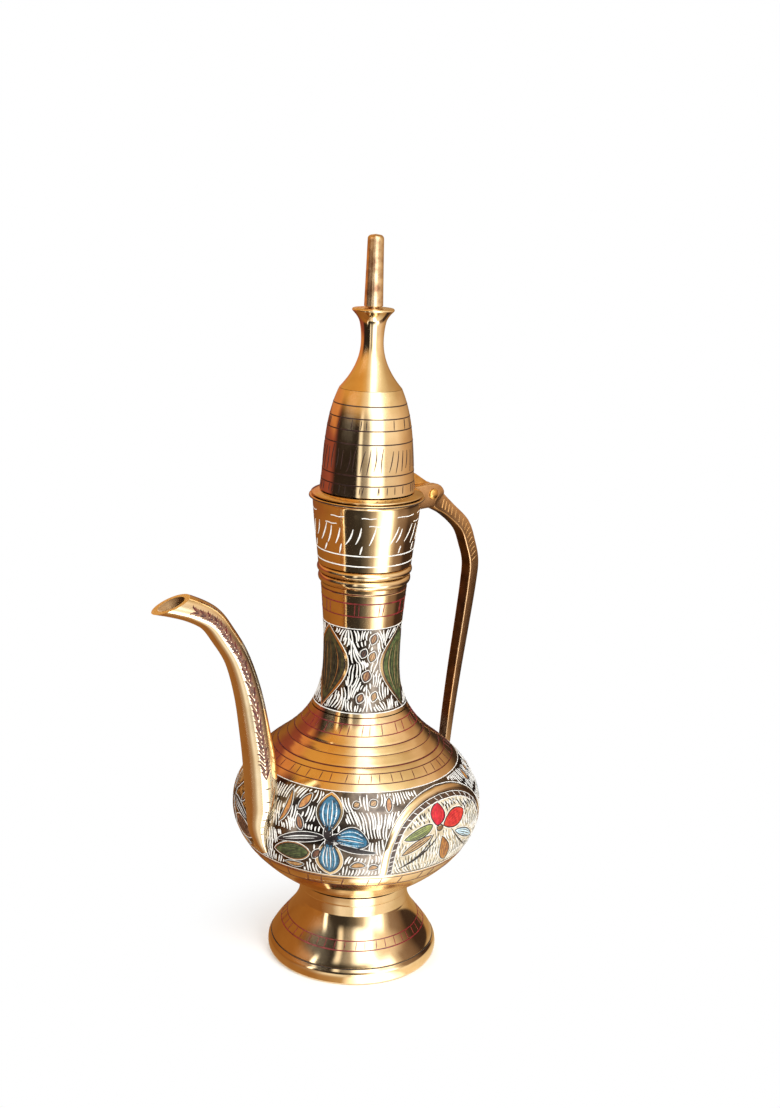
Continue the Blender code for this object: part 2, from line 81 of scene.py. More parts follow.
# Outline of the turned pieces as smooth runs of (height, radius, slope)
FOOT_RUN = [(4.6, 26.75, -0.4), (9.5, 23.5, -0.82), (20.5, 17.6, 0.0), (FOOT_TOP_Z, FOOT_TOP_RADIUS, 0.24)]
LOWER_RUN = [(FOOT_TOP_Z + GAP, FOOT_TOP_RADIUS, 1.63), (BELLY_Z, BELLY_RADIUS, 0.0)]
UPPER_RUN = [(BELLY_Z, BELLY_RADIUS, 0.0), (72.0, 26.6, -1.33), (84.5, 15.3, -0.5)]
NECK_RUN = [(84.8, 15.15, -0.5), (100.3, 11.9, 0.0), (124.7, 13.45, 0.08)]
CUP_RUN = [(130.8, 14.45, 0.1), (148.9, 16.5, 0.08)]
DOME_RUN = [(153.8, 14.6, -0.12), (184.7, 9.5, -0.45)]
STEM_RUN = [(184.78, 9.45, -0.9), (198.8, 3.4, 0.0), (204.2, 3.95, 0.22), (207.3, 5.9, 1.0)]


def hermite(a, b, t):
    """Value at t between two ends given as (position, value, slope)."""
    span = b[0] - a[0]
    t2 = t * t
    t3 = t2 * t
    value = (2 * t3 - 3 * t2 + 1) * a[1] + (t3 - 2 * t2 + t) * span * a[2]
    return value + (3 * t2 - 2 * t3) * b[1] + (t3 - t2) * span * b[2]


def run_radius(run, z):
    """Radius of a smooth run at a height, held level past its ends."""
    z = min(max(z, run[0][0]), run[-1][0])
    for a, b in zip(run, run[1:]):
        if z <= b[0]:
            return hermite(a, b, (z - a[0]) / (b[0] - a[0]))
    return run[-1][1]


def run_profile(run, step=0.5, cuts=()):
    """Points (radius, height) up a run, with turned V cuts given as (height, depth, half width)."""
    low = run[0][0]
    high = run[-1][0]
    count = max(2, round((high - low) / step))
    heights = {low + (high - low) * i / count for i in range(count + 1)}
    for z, depth, half in cuts:
        heights = {h for h in heights if abs(h - z) > half * 1.3} | {z - half, z, z + half}
    points = []
    for h in sorted(heights):
        sunk = sum(max(0.0, depth * (1 - abs(h - z) / half)) for z, depth, half in cuts)
        points.append((run_radius(run, h) - sunk, h))
    return points


def with_neighbours(points, loop=False):
    """Each point with the ones before and after it. An open run's ends stand in for what is missing."""
    first, last = (points[-1], points[0]) if loop else (points[0], points[-1])
    return zip(points, [first] + points[:-1], points[1:] + [last])


def inset(points, distance):
    """Points moved square to the line through them, towards the axis on a rising outside."""
    moved = []
    for (r, z), before, after in with_neighbours(points):
        length = hypot(after[0] - before[0], after[1] - before[1])
        moved.append((r - distance * (after[1] - before[1]) / length,
                      z + distance * (after[0] - before[0]) / length))
    return moved


def arc(centre, radius, start, end, count):
    """Points (radius, height) of an arc given in degrees."""
    points = []
    for i in range(count + 1):
        a = radians(start + (end - start) * i / count)
        points.append((centre[0] + radius * cos(a), centre[1] + radius * sin(a)))
    return points


def mesh_of(bm, name):
    """Mesh of a shape in millimetres, with its faces turned outwards."""
    bmesh.ops.recalc_face_normals(bm, faces=bm.faces)
    bmesh.ops.scale(bm, vec=(MM, MM, MM), verts=bm.verts)
    mesh = bpy.data.meshes.new(name)
    bm.to_mesh(mesh)
    bm.free()
    return mesh


def placed(name, data):
    """New object in the scene."""
    thing = bpy.data.objects.new(name, data)
    bpy.context.collection.objects.link(thing)
    return thing


def add_piece(name, bm, mat, body, slot, nodes=(), sharp=SHARP):
    """Finish a shape in millimetres as a piece that rides on a body."""
    mesh = mesh_of(bm, name)
    mesh.shade_smooth()
    mesh.set_sharp_from_angle(angle=radians(sharp))
    mesh.materials.append(mat)
    piece = placed(name, mesh)
    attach(piece, body)
    if nodes:
        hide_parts(*nodes)
    return piece


def bridge(bm, rings, finish=0, caps=False):
    """Faces from each ring to the next, and over both ends with caps. A ring may also be one point."""
    for low, high in zip(rings, rings[1:]):
        count = max(len(low), len(high))
        for k in range(count):
            n = (k + 1) % count
            if len(low) == 1:
                corners = (low[0], high[n], high[k])
            elif len(high) == 1:
                corners = (low[k], low[n], high[0])
            else:
                corners = (low[k], low[n], high[n], high[k])
            bm.faces.new(corners).material_index = finish
    if caps:
        bm.faces.new(rings[0])
        bm.faces.new(rings[-1])


def revolve(profile, segments, spot, closed=True):
    """Shape turned from an outline of (radius, height) that may end on the axis. spot places each point."""
    bm = bmesh.new()
    rings = []
    for r, h in profile:
        turns = [2 * pi * k / segments for k in range(segments if r else 1)]
        rings.append([bm.verts.new(spot(r * cos(a), r * sin(a), h)) for a in turns])
    if closed and profile[0][0] and profile[-1][0]:
        rings.append(rings[0])
    bridge(bm, rings)
    return bm


def turned(node, profile, finish, segments=SEGMENTS):
    """Piece for a node, turned on the jug's axis."""
    bm = revolve(profile, segments, lambda x, y, z: (AXIS_X + x, y, z))
    mat, body, slot = finish
    add_piece(node.removeprefix("neck_") + "_turned", bm, mat, body, slot, (node,))


def smooth_path(stations, per):
    """Catmull-Rom run through stations of equal length tuples."""
    path = []
    for i in range(len(stations) - 1):
        p0 = stations[max(i - 1, 0)]
        p1 = stations[i]
        p2 = stations[i + 1]
        p3 = stations[min(i + 2, len(stations) - 1)]
        for k in range(per):
            t = k / per
            path.append(tuple(
                0.5 * (2 * b + (c - a) * t + (2 * a - 5 * b + 4 * c - d) * t * t
                       + (3 * b - a - 3 * c + d) * t * t * t)
                for a, b, c, d in zip(p0, p1, p2, p3)))
    path.append(stations[-1])
    return path


# Brass and lac

def add_node(tree, kind, inputs, output=0, **settings):
    """Output of a new shader node whose inputs are linked to sockets or set to values."""
    node = tree.nodes.new("ShaderNode" + kind)
    for name, value in settings.items():
        setattr(node, name, value)
    for name, value in inputs.items():
        if isinstance(value, bpy.types.NodeSocket):
            tree.links.new(value, node.inputs[name])
        else:
            node.inputs[name].default_value = value
    return node.outputs[output]


def new_material(name):
    mat = bpy.data.materials.new(name)
    mat.use_nodes = True
    return mat, mat.node_tree, mat.node_tree.nodes["Principled BSDF"]


def object_coords(tree):
    return add_node(tree, "TexCoord", {}, "Object")


def noise(tree, coords, scale, detail):
    return add_node(tree, "TexNoise", {"Vector": coords, "Scale": scale, "Detail": detail}, "Fac")


def ramp(tree, fac, stops):
    node = tree.nodes.new("ShaderNodeValToRGB")
    elements = node.color_ramp.elements
    while len(elements) < len(stops):
        elements.new(0.5)
    for element, (place, colour) in zip(elements, stops):
        element.position = place
        element.color = tuple(colour) + (1.0,)
    tree.links.new(fac, node.inputs["Fac"])
    return node.outputs["Color"]


def coat(tree, shader, cloud, stops, grain, smooth, rough):
    """Colour a shader by a cloud and its roughness by a grain."""
    tree.links.new(ramp(tree, cloud, stops), shader.inputs["Base Color"])
    spread = add_node(tree, "MapRange", {"Value": grain, "To Min": smooth, "To Max": rough}, "Result")
    tree.links.new(spread, shader.inputs["Roughness"])


def uneven(tree, shader, height, strength, distance):
    """Fine relief of a shader, with its depth in millimetres."""
    relief = {"Height": height, "Strength": strength, "Distance": distance * MM}
    tree.links.new(add_node(tree, "Bump", relief, "Normal"), shader.inputs["Normal"])


LATHE_LINES = 1500.0
LAC_CLOUDS = 900.0
GROUND_CLOUDS = 420.0
GROUND_GRAIN = 2600.0


def brass(name, light, dark, smooth=0.06, rough=0.15, turning=0.005, mottle=160.0, metallic=1.0):
    """Polished brass with lathe lines round the axis, soft tarnish and fine handling marks."""
    mat, tree, shader = new_material(name)
    coords = object_coords(tree)
    height = add_node(tree, "SeparateXYZ", {"Vector": coords}, "Z")
    lathe = {"W": height, "Scale": LATHE_LINES, "Detail": 4.0}
    lines = add_node(tree, "TexNoise", lathe, "Fac", noise_dimensions="1D")
    cloud = noise(tree, coords, mottle, 5.0)
    wear = noise(tree, coords, mottle * 9, 3.0)
    coat(tree, shader, cloud, ((0.3, dark), (0.62, light)), wear, smooth, rough)
    shader.inputs["Metallic"].default_value = metallic
    uneven(tree, shader, lines, 0.25, turning)
    return mat


BODY_BRASS = brass("body_brass_polished", (0.88, 0.69, 0.43), (0.79, 0.58, 0.33))
LID_BRASS = brass("lid_brass_polished", (0.88, 0.70, 0.45), (0.79, 0.59, 0.34))
FITTING_BRASS = brass("fitting_brass_polished", (0.88, 0.71, 0.46), (0.80, 0.61, 0.37),
                      0.08, 0.17, 0.003, 240.0)
FINIAL_BRASS = brass("finial_brass_worn", (0.76, 0.57, 0.36), (0.34, 0.19, 0.11), 0.13, 0.3, 0.012, 330.0)
SPOUT_BRASS = brass("spout_brass_satin", (0.94, 0.81, 0.59), (0.88, 0.72, 0.48), 0.09, 0.15, 0.002, 240.0)
BORE_BRASS = brass("bore_brass_dull", (0.52, 0.33, 0.16), (0.36, 0.21, 0.09), 0.45, 0.6, 0.003, 300.0, 0.35)
HANDLE_BRASS = brass("handle_brass_worn", (0.82, 0.56, 0.32), (0.64, 0.41, 0.22), 0.18, 0.3, 0.003, 300.0)
# Very dark brass for the handle's inner face towards the jug: painted shade
INNER_SHADE_BRASS = brass("handle_brass_painted_shade", (0.16, 0.095, 0.055), (0.07, 0.042, 0.027),
                     0.2, 0.34, 0.003, 300.0)
HINGE_BRASS = brass("hinge_brass_worn", (0.78, 0.48, 0.16), (0.58, 0.32, 0.09), 0.18, 0.32, 0.004, 420.0)

# Metal of the turned pieces, the body that they ride on and their slot
JUG = (BODY_BRASS, "jug", "body_brass")
BEAD = (FITTING_BRASS, "jug", "fitting_brass")
LID = (LID_BRASS, "lid", "lid_brass")
FINIAL = (FINIAL_BRASS, "lid", "lid_brass")


# Turned pieces of the jug

def build_foot():
    rim = [(26.6, 0.0), (27.2, 0.2), (27.45, 0.8), (27.5, 2.4), (27.35, 3.6), (27.05, 4.35)]
    flare = run_profile(FOOT_RUN, 0.4, ((5.1, 0.2, 0.3), (18.6, 0.1, 0.4), (21.9, 0.1, 0.35)))
    inside = inset(flare[1:], WALL)
    inside[-1] = (FOOT_TOP_RADIUS - WALL, FOOT_TOP_Z)
    turned("foot", rim + flare + inside[::-1] + [(26.0, 0.0)], JUG)


def build_belly():
    outside = run_profile(LOWER_RUN)
    inside = [p for p in inset(outside, WALL) if 27.6 < p[1] < 48.3]
    throat = FOOT_TOP_RADIUS - WALL - GAP
    boss = [(0, 22.8), (throat, 22.8), (throat, FOOT_TOP_Z + GAP)]
    rebate = [(39.05, BELLY_Z), (39.05, 49.2), (38.2, 49.2)]
    bottom = [(inside[0][0] - WALL, 26.7), (0, 26.7)]
    turned("lower_bowl", boss + outside + rebate + inside[::-1] + bottom, JUG)

    outside = run_profile(UPPER_RUN, cuts=((72.7, 0.1, 0.25), (77.3, 0.12, 0.3), (75.2, 0.08, 0.25)))
    lap = [(38.2, 49.5), (38.75, 49.5), (38.75, 51.55), (BELLY_RADIUS, 51.55)]
    inside = [p for p in inset(outside, WALL) if p[1] > 53 and p[0] > 14.3]
    turned("upper_bowl", lap + outside[1:] + [(13.9, 84.5)] + inside[::-1], JUG)


def build_neck():
    outside = run_profile(NECK_RUN, cuts=((123.3, 0.18, 0.3),))
    bore = [p for p in inset(outside, WALL) if 87.5 < p[1] < 123]
    spigot = [(12.75, 124.7), (12.75, 133.8), (11.35, 133.8)]
    turned("neck", [(13.6, 80.8), (13.6, 84.8)] + outside + spigot + bore[::-1] + [(12.2, 80.8)], JUG)
    for node, low, out in (("neck_bead_lower", 125.0, 0.85), ("neck_bead_upper", 127.9, 1.25)):
        crest = [(13.5 + out * x, low + 1.3 + 1.3 * z) for x, z in arc((0, 0), 1.0, -90, 90, 16)]
        turned(node, [(13.05, low)] + crest + [(13.05, low + 2.6)], BEAD)


def build_cup():
    outside = run_profile(CUP_RUN)
    lip = [(16.63, 150.2), (16.72, 150.8), (16.95, 151.08), (17.3, 151.2)]
    lip += arc((17.4, 151.6), 0.35, -70, 90, 8)
    mouth = [(16.9, 152.0), (15.4, 151.95), (15.1, 151.7)]
    turned("mouth_cup", outside + lip + mouth + [(r - WALL, z) for r, z in outside[::-1]], JUG)


def build_lid():
    rim = [(11.7, 148.3), (14.6, 148.3), (14.6, 152.3)] + arc((16.9, 152.55), 0.25, -90, 60, 6)
    rim += [(15.6, 153.25), (14.7, 153.5), (13.0, 153.5), (13.0, 155.5), (11.7, 155.5)]
    turned("lid_rim", rim, LID)

    outside = run_profile(DOME_RUN)
    inside = [(r - LID_WALL, z) for r, z in outside if z > 157.2]
    step = [(inside[0][0], 155.8), (13.3, 155.8), (13.3, 153.8)]
    turned("lid_dome", outside + inside[::-1] + step, LID)

    profile = [(0, 183.0), (7.9, 183.0), (7.9, 184.78)] + run_profile(STEM_RUN, 0.4)
    profile += arc((5.85, 207.95), 0.5, -50, 80, 10)
    turned("lid_stem", profile + [(5.2, 208.5), (1.7, 208.6), (1.7, 204.7), (0, 204.7)], LID)

    rod = [(0, 205.3), (1.4, 205.3), (1.4, 208.9), (2.6, 208.9), (2.85, 209.15), (2.62, 219.0),
           (2.43, 228.4)]
    tip = arc((1.22, 228.6), 1.2, 5, 75, 10) + [(0.8, 229.9), (0, 230.0)]
    turned("finial", rod + tip, FINIAL, ROD_SEGMENTS)


# Swept pieces: spout and handle lie in the plane y = 0

SPOUT_SIDES = 48
SPOUT_WALL = 1.1
TAIL_Z = 45.0
TAIL_RISE = 17.3
TAIL_RADIUS = 5.0
TIP_X = -74.1
TIP_Z = 133.06
MOUTH_Z = 130.36
MOUTH_SLOPE = 0.3
BORE_START_Z = 68.0


def belly_radius(z):
    return run_radius(LOWER_RUN if z < BELLY_Z else UPPER_RUN, z)


def sweep_frames(stations):
    """Centre, side direction and station for each point of the smooth path through some stations."""
    path = smooth_path(stations, PATH_STEPS)
    frames = []
    for point, before, after in with_neighbours(path):
        run = Vector((after[0] - before[0], 0, after[1] - before[1])).normalized()
        frames.append((Vector((AXIS_X + point[0], 0, point[1])), Vector((-run.z, 0, run.x)), point))
    return frames


def spout_stations():
    """Tail that hugs the belly and riser to the mouth, as (x, height, radius)."""
    stations = []
    for share, out, size in ((0.0, 0.03, 0.2), (0.25, 0.17, 0.42), (0.575, 0.42, 0.66), (1.0, 0.84, 0.97)):
        z = TAIL_Z + TAIL_RISE * share
        stations.append((-belly_radius(z) - TAIL_RADIUS * out, z, TAIL_RADIUS * size))
    start_x, start_z, _ = stations[-1]
    for out, up in ((0.027, 0.167), (0.08, 0.307), (0.172, 0.502), (0.3, 0.668), (0.46, 0.786),
                    (0.6, 0.867), (0.79, 0.922), (1.0, 0.962), (1.22, 0.995)):
        shrink = min(1.0, max(0.0, (up - 0.1) / 0.57))
        stations.append((start_x + (TIP_X - start_x) * out, start_z + (TIP_Z - start_z) * up,
                         5.15 * (1 - shrink) + 3.7 * shrink))
    return stations


def build_spout():
    """Bent tube whose mouth is cut nearly level, open down to the belly."""
    bm = bmesh.new()
    frames = sweep_frames(spout_stations())

    def ring(centre, side, radius):
        turns = [2 * pi * (k + 0.5) / SPOUT_SIDES for k in range(SPOUT_SIDES)]
        return [centre + side * (radius * cos(a)) + Vector((0, radius * sin(a), 0)) for a in turns]

    def above(p):
        return p.z - MOUTH_Z - MOUTH_SLOPE * (p.x - AXIS_X - TIP_X)

    def mouth_cut(loops):
        """Rings of the tube, with the points past the mouth's plane slid back along it."""
        kept = [list(loop) for loop in loops]
        for k in range(SPOUT_SIDES):
            for i in range(1, len(kept)):
                low = loops[i - 1][k]
                high = loops[i][k]
                if above(high) > 0:
                    hit = kept[i - 1][k]
                    if above(low) < 0:
                        hit = low.lerp(high, above(low) / (above(low) - above(high)))
                    for loop in kept[i:]:
                        loop[k] = hit
                    break
        return [[bm.verts.new(p) for p in loop] for loop in kept]

    outer = mouth_cut([ring(c, s, p[2]) for c, s, p in frames])
    inner = mouth_cut([ring(c, s, p[2] - SPOUT_WALL) for c, s, p in frames if p[1] > BORE_START_Z])
    bridge(bm, outer)
    bridge(bm, inner, 1)
    bridge(bm, [outer[-1], inner[-1]])
    bm.faces.new(outer[0])
    bm.faces.new(inner[0])
    bmesh.ops.remove_doubles(bm, verts=bm.verts, dist=0.001)
    bmesh.ops.dissolve_degenerate(bm, edges=bm.edges, dist=0.0005)
    spout = add_piece("spout_tube", bm, SPOUT_BRASS, "jug", "fitting_brass", ("spout",))
    spout.data.materials.append(BORE_BRASS)


FORK_Z = 148.6
KNEE_X = 49.2
KNEE_Z = 123.1
HANDLE_FOOT_Z = 55.5
EDGE_SHARE = 0.2
EDGE_STEPS = 4
INNER_SIDE = 9
INNER_SHADE_START = 20
SLOT_HALF = 1.5
LID_CLEARANCE = 17.95
KNUCKLE_RADIUS = 2.8
TONGUE_HALF = 1.2
TONGUE_BEVEL = 0.25
RIVET_SIDES = 40


def handle_stations():
    """Fork at the cup, knee and foot on the belly, as (x, height, depth, width)."""
    foot_x = belly_radius(HANDLE_FOOT_Z) + 1.2
    stations = [(15.6, FORK_Z, 7.7, 6.4), (HINGE_RHO + 0.7, FORK_Z, 7.7, 6.4),
                (HINGE_RHO + 3.9, FORK_Z - 2.3, 5.9, 5.5)]
    for out, down in ((0.434, 0.26), (0.75, 0.487), (0.904, 0.743), (1.0, 1.0)):
        size = 4.6 - 0.4 * down
        stations.append((HINGE_RHO + (KNEE_X - HINGE_RHO) * out, HINGE_Z + (KNEE_Z - HINGE_Z) * down,
                         size, size))
    for back, down in ((0.061, 0.121), (0.276, 0.306), (0.582, 0.55), (0.847, 0.8), (1.0, 1.0)):
        stations.append((KNEE_X + (foot_x - KNEE_X) * back, KNEE_Z + (HANDLE_FOOT_Z - KNEE_Z) * down,
                         4.2 - 1.8 * down, 4.2 - 0.8 * down))
    for out, z, depth, width in ((0.8, 53.2, 1.9, 3.7), (0.15, 50.2, 0.9, 2.9)):
        stations.append((belly_radius(z) + out, z, depth, width))
    return stations


def bar_ring(bm, centre, side, depth, width):
    """Ring of a bar whose long edges are rounded."""
    u = depth / 2
    v = width / 2
    e = min(u, v) * EDGE_SHARE
    ring = []
    for su, sv, start in ((1, 1, 0), (-1, 1, 90), (-1, -1, 180), (1, -1, 270)):
        for k in range(EDGE_STEPS + 1):
            a = radians(start + 90 * k / EDGE_STEPS)
            along = su * (u - e) + e * cos(a)
            across = sv * (v - e) + e * sin(a)
            ring.append(bm.verts.new(centre + side * along + Vector((0, across, 0))))
    return ring


def cut_piece(piece, bm):
    """Take a shape in millimetres out of a piece, and apply the cut."""
    tool = placed("cut_shape", mesh_of(bm, "cut_shape"))
    mod = piece.modifiers.new("cut", "BOOLEAN")
    mod.operation = "DIFFERENCE"
    mod.solver = "EXACT"
    mod.object = tool
    bpy.context.view_layer.update()
    graph = bpy.context.evaluated_depsgraph_get()
    result = bpy.data.meshes.new_from_object(piece.evaluated_get(graph))
    piece.modifiers.clear()
    piece.data = result
    result.set_sharp_from_angle(angle=radians(SHARP))
    bpy.data.objects.remove(tool, do_unlink=True)


def build_handle():
    """Bar handle, slotted at the top for the lid's leaf and cut round for the lid's rim, with painted shade
    on its inner face.
    """
    bm = bmesh.new()
    rings = [bar_ring(bm, c, s, p[2], p[3]) for c, s, p in sweep_frames(handle_stations())]
    bridge(bm, rings, caps=True)
    bm.faces.ensure_lookup_table()
    # The inner face of the lower handle, towards the jug, takes the very dark brass: painted shade
    for i in range(INNER_SHADE_START, len(rings) - 1):
        bm.faces[i * len(rings[0]) + INNER_SIDE].material_index = 1
    handle = add_piece("handle_bar", bm, HANDLE_BRASS, "jug", "fitting_brass", ("handle",))
    handle.data.materials.append(INNER_SHADE_BRASS)
    bm = bmesh.new()
    low = Vector((AXIS_X + 10, -SLOT_HALF, HINGE_Z - 3.1))
    high = Vector((AXIS_X + HINGE_RHO + 6.2, SLOT_HALF, HINGE_Z + 12))
    bmesh.ops.create_cube(bm, size=1.0)
    bmesh.ops.scale(bm, vec=high - low, verts=bm.verts)
    bmesh.ops.translate(bm, vec=(high + low) / 2, verts=bm.verts)
    cut_piece(handle, bm)
    bm = bmesh.new()
    bmesh.ops.create_cone(bm, cap_ends=True, segments=96, depth=6.0,
                          radius1=LID_CLEARANCE, radius2=LID_CLEARANCE)
    bmesh.ops.translate(bm, vec=(AXIS_X, 0, 153.9), verts=bm.verts)
    cut_piece(handle, bm)


def build_hinge():
    """Leaf of the lid in the fork, and the riveted pin through both."""
    outline = [(14.35, 153.7), (17.8, 153.8)]
    outline += [(HINGE_RHO + r, HINGE_Z + z) for r, z in arc((0, 0), KNUCKLE_RADIUS, 170, 420, 40)]
    outline += [(20.0, 156.3), (17.0, 156.5), (15.2, 157.3), (14.15, 158.4)]
    bm = bmesh.new()
    face = bm.faces.new([bm.verts.new((AXIS_X + x, -TONGUE_HALF, z)) for x, z in outline])
    grown = bmesh.ops.extrude_face_region(bm, geom=[face])["geom"]
    moved = [g for g in grown if isinstance(g, bmesh.types.BMVert)]
    bmesh.ops.translate(bm, verts=moved, vec=(0, 2 * TONGUE_HALF, 0))
    rims = [e for e in bm.edges if abs(e.verts[0].co.y - e.verts[1].co.y) < 1e-6]
    bmesh.ops.bevel(bm, geom=rims, offset=TONGUE_BEVEL, segments=2, affect="EDGES", profile=0.5)
    add_piece("lid_hinge_leaf", bm, HINGE_BRASS, "lid", "hinge_brass", ("lid_tongue",))

    head = [(0.0, 4.2), (0.6, 4.15), (1.1, 4.0), (1.5, 3.8), (1.75, 3.6), (1.8, 3.35), (1.0, 3.35)]
    bm = revolve(head + [(r, -y) for r, y in head[::-1]], RIVET_SIDES,
                 lambda x, z, y: (AXIS_X + HINGE_RHO + x, y, HINGE_Z + z))
    add_piece("hinge_rivet", bm, HINGE_BRASS, "jug", "hinge_brass", ("hinge_pin",))


# Lac inlay on the turned surfaces, by angles from the spout (0) over the seen side to the handle (180)

BODY_RUNS = (FOOT_RUN, LOWER_RUN, UPPER_RUN, NECK_RUN, CUP_RUN, DOME_RUN)
SINK = 0.06
LINE_LIFT = 0.05
STROKE_LIFT = 0.06
TOP_SHARE = 0.75
LEAF_ROWS = 16
LEAF_ENDS = (0.012, 0.988)
LEAF_CROWN = 0.35
HATCH_STEPS = 8
HATCH_START = 0.1
HATCH_END = 0.9


def surface_radius(z):
    for run in BODY_RUNS:
        if z <= run[-1][0]:
            return run_radius(run, z)
    return run_radius(DOME_RUN, z)


def surface_rise(z):
    return (surface_radius(z + 0.1) - surface_radius(z - 0.1)) / 0.2


def surface(angle, z):
    """Point on the jug's outside and the direction straight out of it."""
    r = surface_radius(z)
    a = radians(180 + angle)
    out = Vector((cos(a), sin(a), -surface_rise(z))).normalized()
    return Vector((AXIS_X + r * cos(a), r * sin(a), z)), out


def mix_points(a, b, t):
    return (a[0] + (b[0] - a[0]) * t, a[1] + (b[1] - a[1]) * t)


def around(count, jitter, shift=0.0):
    """Uneven angles all round."""
    for i in range(count):
        yield 360 * (i + shift + random.uniform(-jitter, jitter)) / count


class Leaf:
    """Almond or petal on the surface, from base to tip in (angle, height), with its half width in mm."""

    def __init__(self, base, tip, half, peak=0.5, bend=0.0, full=0.8):
        self.base = base
        self.tip = tip
        self.half = half
        self.peak = peak
        self.bend = bend
        self.full = full
        middle = mix_points(base, tip, 0.5)
        self.per_degree = surface_radius(middle[1]) * radians(1)
        self.per_height = hypot(1, surface_rise(middle[1]))
        along = ((tip[0] - base[0]) * self.per_degree, (tip[1] - base[1]) * self.per_height)
        self.length = hypot(*along)
        self.side = (-along[1] / self.length, along[0] / self.length)
        self.ahead = (along[0] / self.length, along[1] / self.length)

    def width(self, t):
        if t <= 0 or t >= 1:
            return 0.0
        power = log(0.5) / log(self.peak)
        return self.half * sin(pi * t ** power) ** self.full

    def bow(self, t):
        return self.bend * 4 * t * (1 - t)

    def place(self, t, across):
        """(angle, height) at a share of the length and a distance across in mm."""
        angle, z = mix_points(self.base, self.tip, t)
        across += self.bow(t)
        return (angle + self.side[0] * across / self.per_degree, z + self.side[1] * across / self.per_height)

    def grown(self, margin):
        """The same leaf with a border of the given width added all round."""
        reach = margin / self.length
        ends = [mix_points(self.base, self.tip, t) for t in (-reach, 1 + reach)]
        return Leaf(ends[0], ends[1], self.half + margin, self.peak, self.bend, self.full)

    def holds(self, angle, z, margin):
        """Whether a point lies on the leaf or within a margin of it."""
        du = ((angle - self.base[0] + 180) % 360 - 180) * self.per_degree
        dv = (z - self.base[1]) * self.per_height
        t = (du * self.ahead[0] + dv * self.ahead[1]) / self.length
        if not -margin / self.length < t < 1 + margin / self.length:
            return False
        across = du * self.side[0] + dv * self.side[1] - self.bow(t)
        return abs(across) < self.width(min(max(t, 0.05), 0.95)) + margin


class Inlay:
    """Thin closed slips of one finish, gathered into one mesh."""

    def __init__(self):
        self.bm = bmesh.new()

    def band(self, points, halves, lift, loop=False):
        """Slip along (angle, height) points on the jug's outside."""
        self.slip([surface(*p) for p in points], halves, lift, loop)

    def slip(self, spots, halves, lift, loop=False):
        """Flat-topped slip along (point, out) spots: its edges sink into the metal."""
        rings = []
        if not isinstance(halves, list):
            halves = [halves] * len(spots)
        for half, ((point, out), before, after) in zip(halves, with_neighbours(spots, loop)):
            across = out.cross(after[0] - before[0]).normalized() * half
            low = point - out * SINK
            high = point + out * lift
            top = across * TOP_SHARE
            corners = (low + across, high + top, high - top, low - across)
            rings.append([self.bm.verts.new(p) for p in corners])
        if loop:
            rings.append(rings[0])
        bridge(self.bm, rings, caps=not loop)

    def stroke(self, start, end, half, lift=STROKE_LIFT, bend=0.0, steps=4, taper=0.25):
        """Tapered hand-cut stroke between two (angle, height) points."""
        leaf = Leaf(start, end, half, bend=bend)
        points = [leaf.place(i / steps, 0.0) for i in range(steps + 1)]
        halves = [half * (taper + (1 - taper) * sin(pi * i / steps)) for i in range(steps + 1)]
        self.band(points, halves, lift)

    def ring(self, z, half):
        self.band([(360 * i / RING_STEPS, z) for i in range(RING_STEPS)], half, LINE_LIFT, loop=True)

    def ticks(self, low, high, count, half, slant, jitter):
        """Row of short strokes all round between two heights."""
        for angle in around(count, jitter / 2):
            lean = slant + jitter * random.uniform(-1.0, 1.0)
            self.stroke((angle, low), (angle + lean, high), half, steps=3, taper=0.5)

    def leaf(self, leaf, lift, rows=LEAF_ROWS, columns=6):
        """Crowned filled leaf."""
        grid = []
        for i in range(rows + 1):
            t = min(max(i / rows, LEAF_ENDS[0]), LEAF_ENDS[1])
            row = []
            for j in range(columns + 1):
                v = 2 * j / columns - 1
                point, out = surface(*leaf.place(t, v * leaf.width(t)))
                row.append((point, out, lift * (1 - LEAF_CROWN * v * v)))
            grid.append(row)
        tops = [[self.bm.verts.new(p + o * h) for p, o, h in row] for row in grid]
        lows = [[self.bm.verts.new(row[k][0] - row[k][1] * SINK) for k in (0, -1)] for row in grid]
        bridge(self.bm, [[low[0]] + top + [low[1]] for top, low in zip(tops, lows)])
        self.bm.faces.new(lows[0] + tops[0][::-1])
        self.bm.faces.new(lows[-1][::-1] + tops[-1])

    def outline(self, leaf, half, lift):
        """Closed line round a leaf."""
        shares = [i / LEAF_ROWS for i in range(LEAF_ROWS + 1)]
        right = [leaf.place(t, leaf.width(t)) for t in shares]
        left = [leaf.place(t, -leaf.width(t)) for t in shares[-2:0:-1]]
        self.band(right + left, half, lift, loop=True)

    def hatch(self, leaf, count, half, lift):
        """Fine strokes down a leaf, side by side."""
        for k in range(count):
            v = (2 * (k + 0.5 + random.uniform(-0.15, 0.15)) / count - 1) * 0.82
            trim = 0.12 * abs(v) + random.uniform(0.0, 0.07)
            weight = half * random.uniform(0.75, 1.3)
            points = []
            halves = []
            for i in range(HATCH_STEPS + 1):
                t = HATCH_START + trim + (HATCH_END - HATCH_START - 2 * trim) * i / HATCH_STEPS
                points.append(leaf.place(t, v * leaf.width(t)))
                halves.append(weight * (0.3 + 0.7 * sin(pi * i / HATCH_STEPS)))
            self.band(points, halves, lift)


def lac(name, light, dark, scale=LAC_CLOUDS):
    """Fired lac: two close tones in small clouds, with a slightly uneven glossy skin."""
    mat, tree, shader = new_material(name)
    coords = object_coords(tree)
    grain = noise(tree, coords, scale * 6, 2.0)
    coat(tree, shader, noise(tree, coords, scale, 4.0), ((0.35, dark), (0.62, light)), grain, 0.22, 0.42)
    uneven(tree, shader, grain, 0.3, 0.02)
    return mat


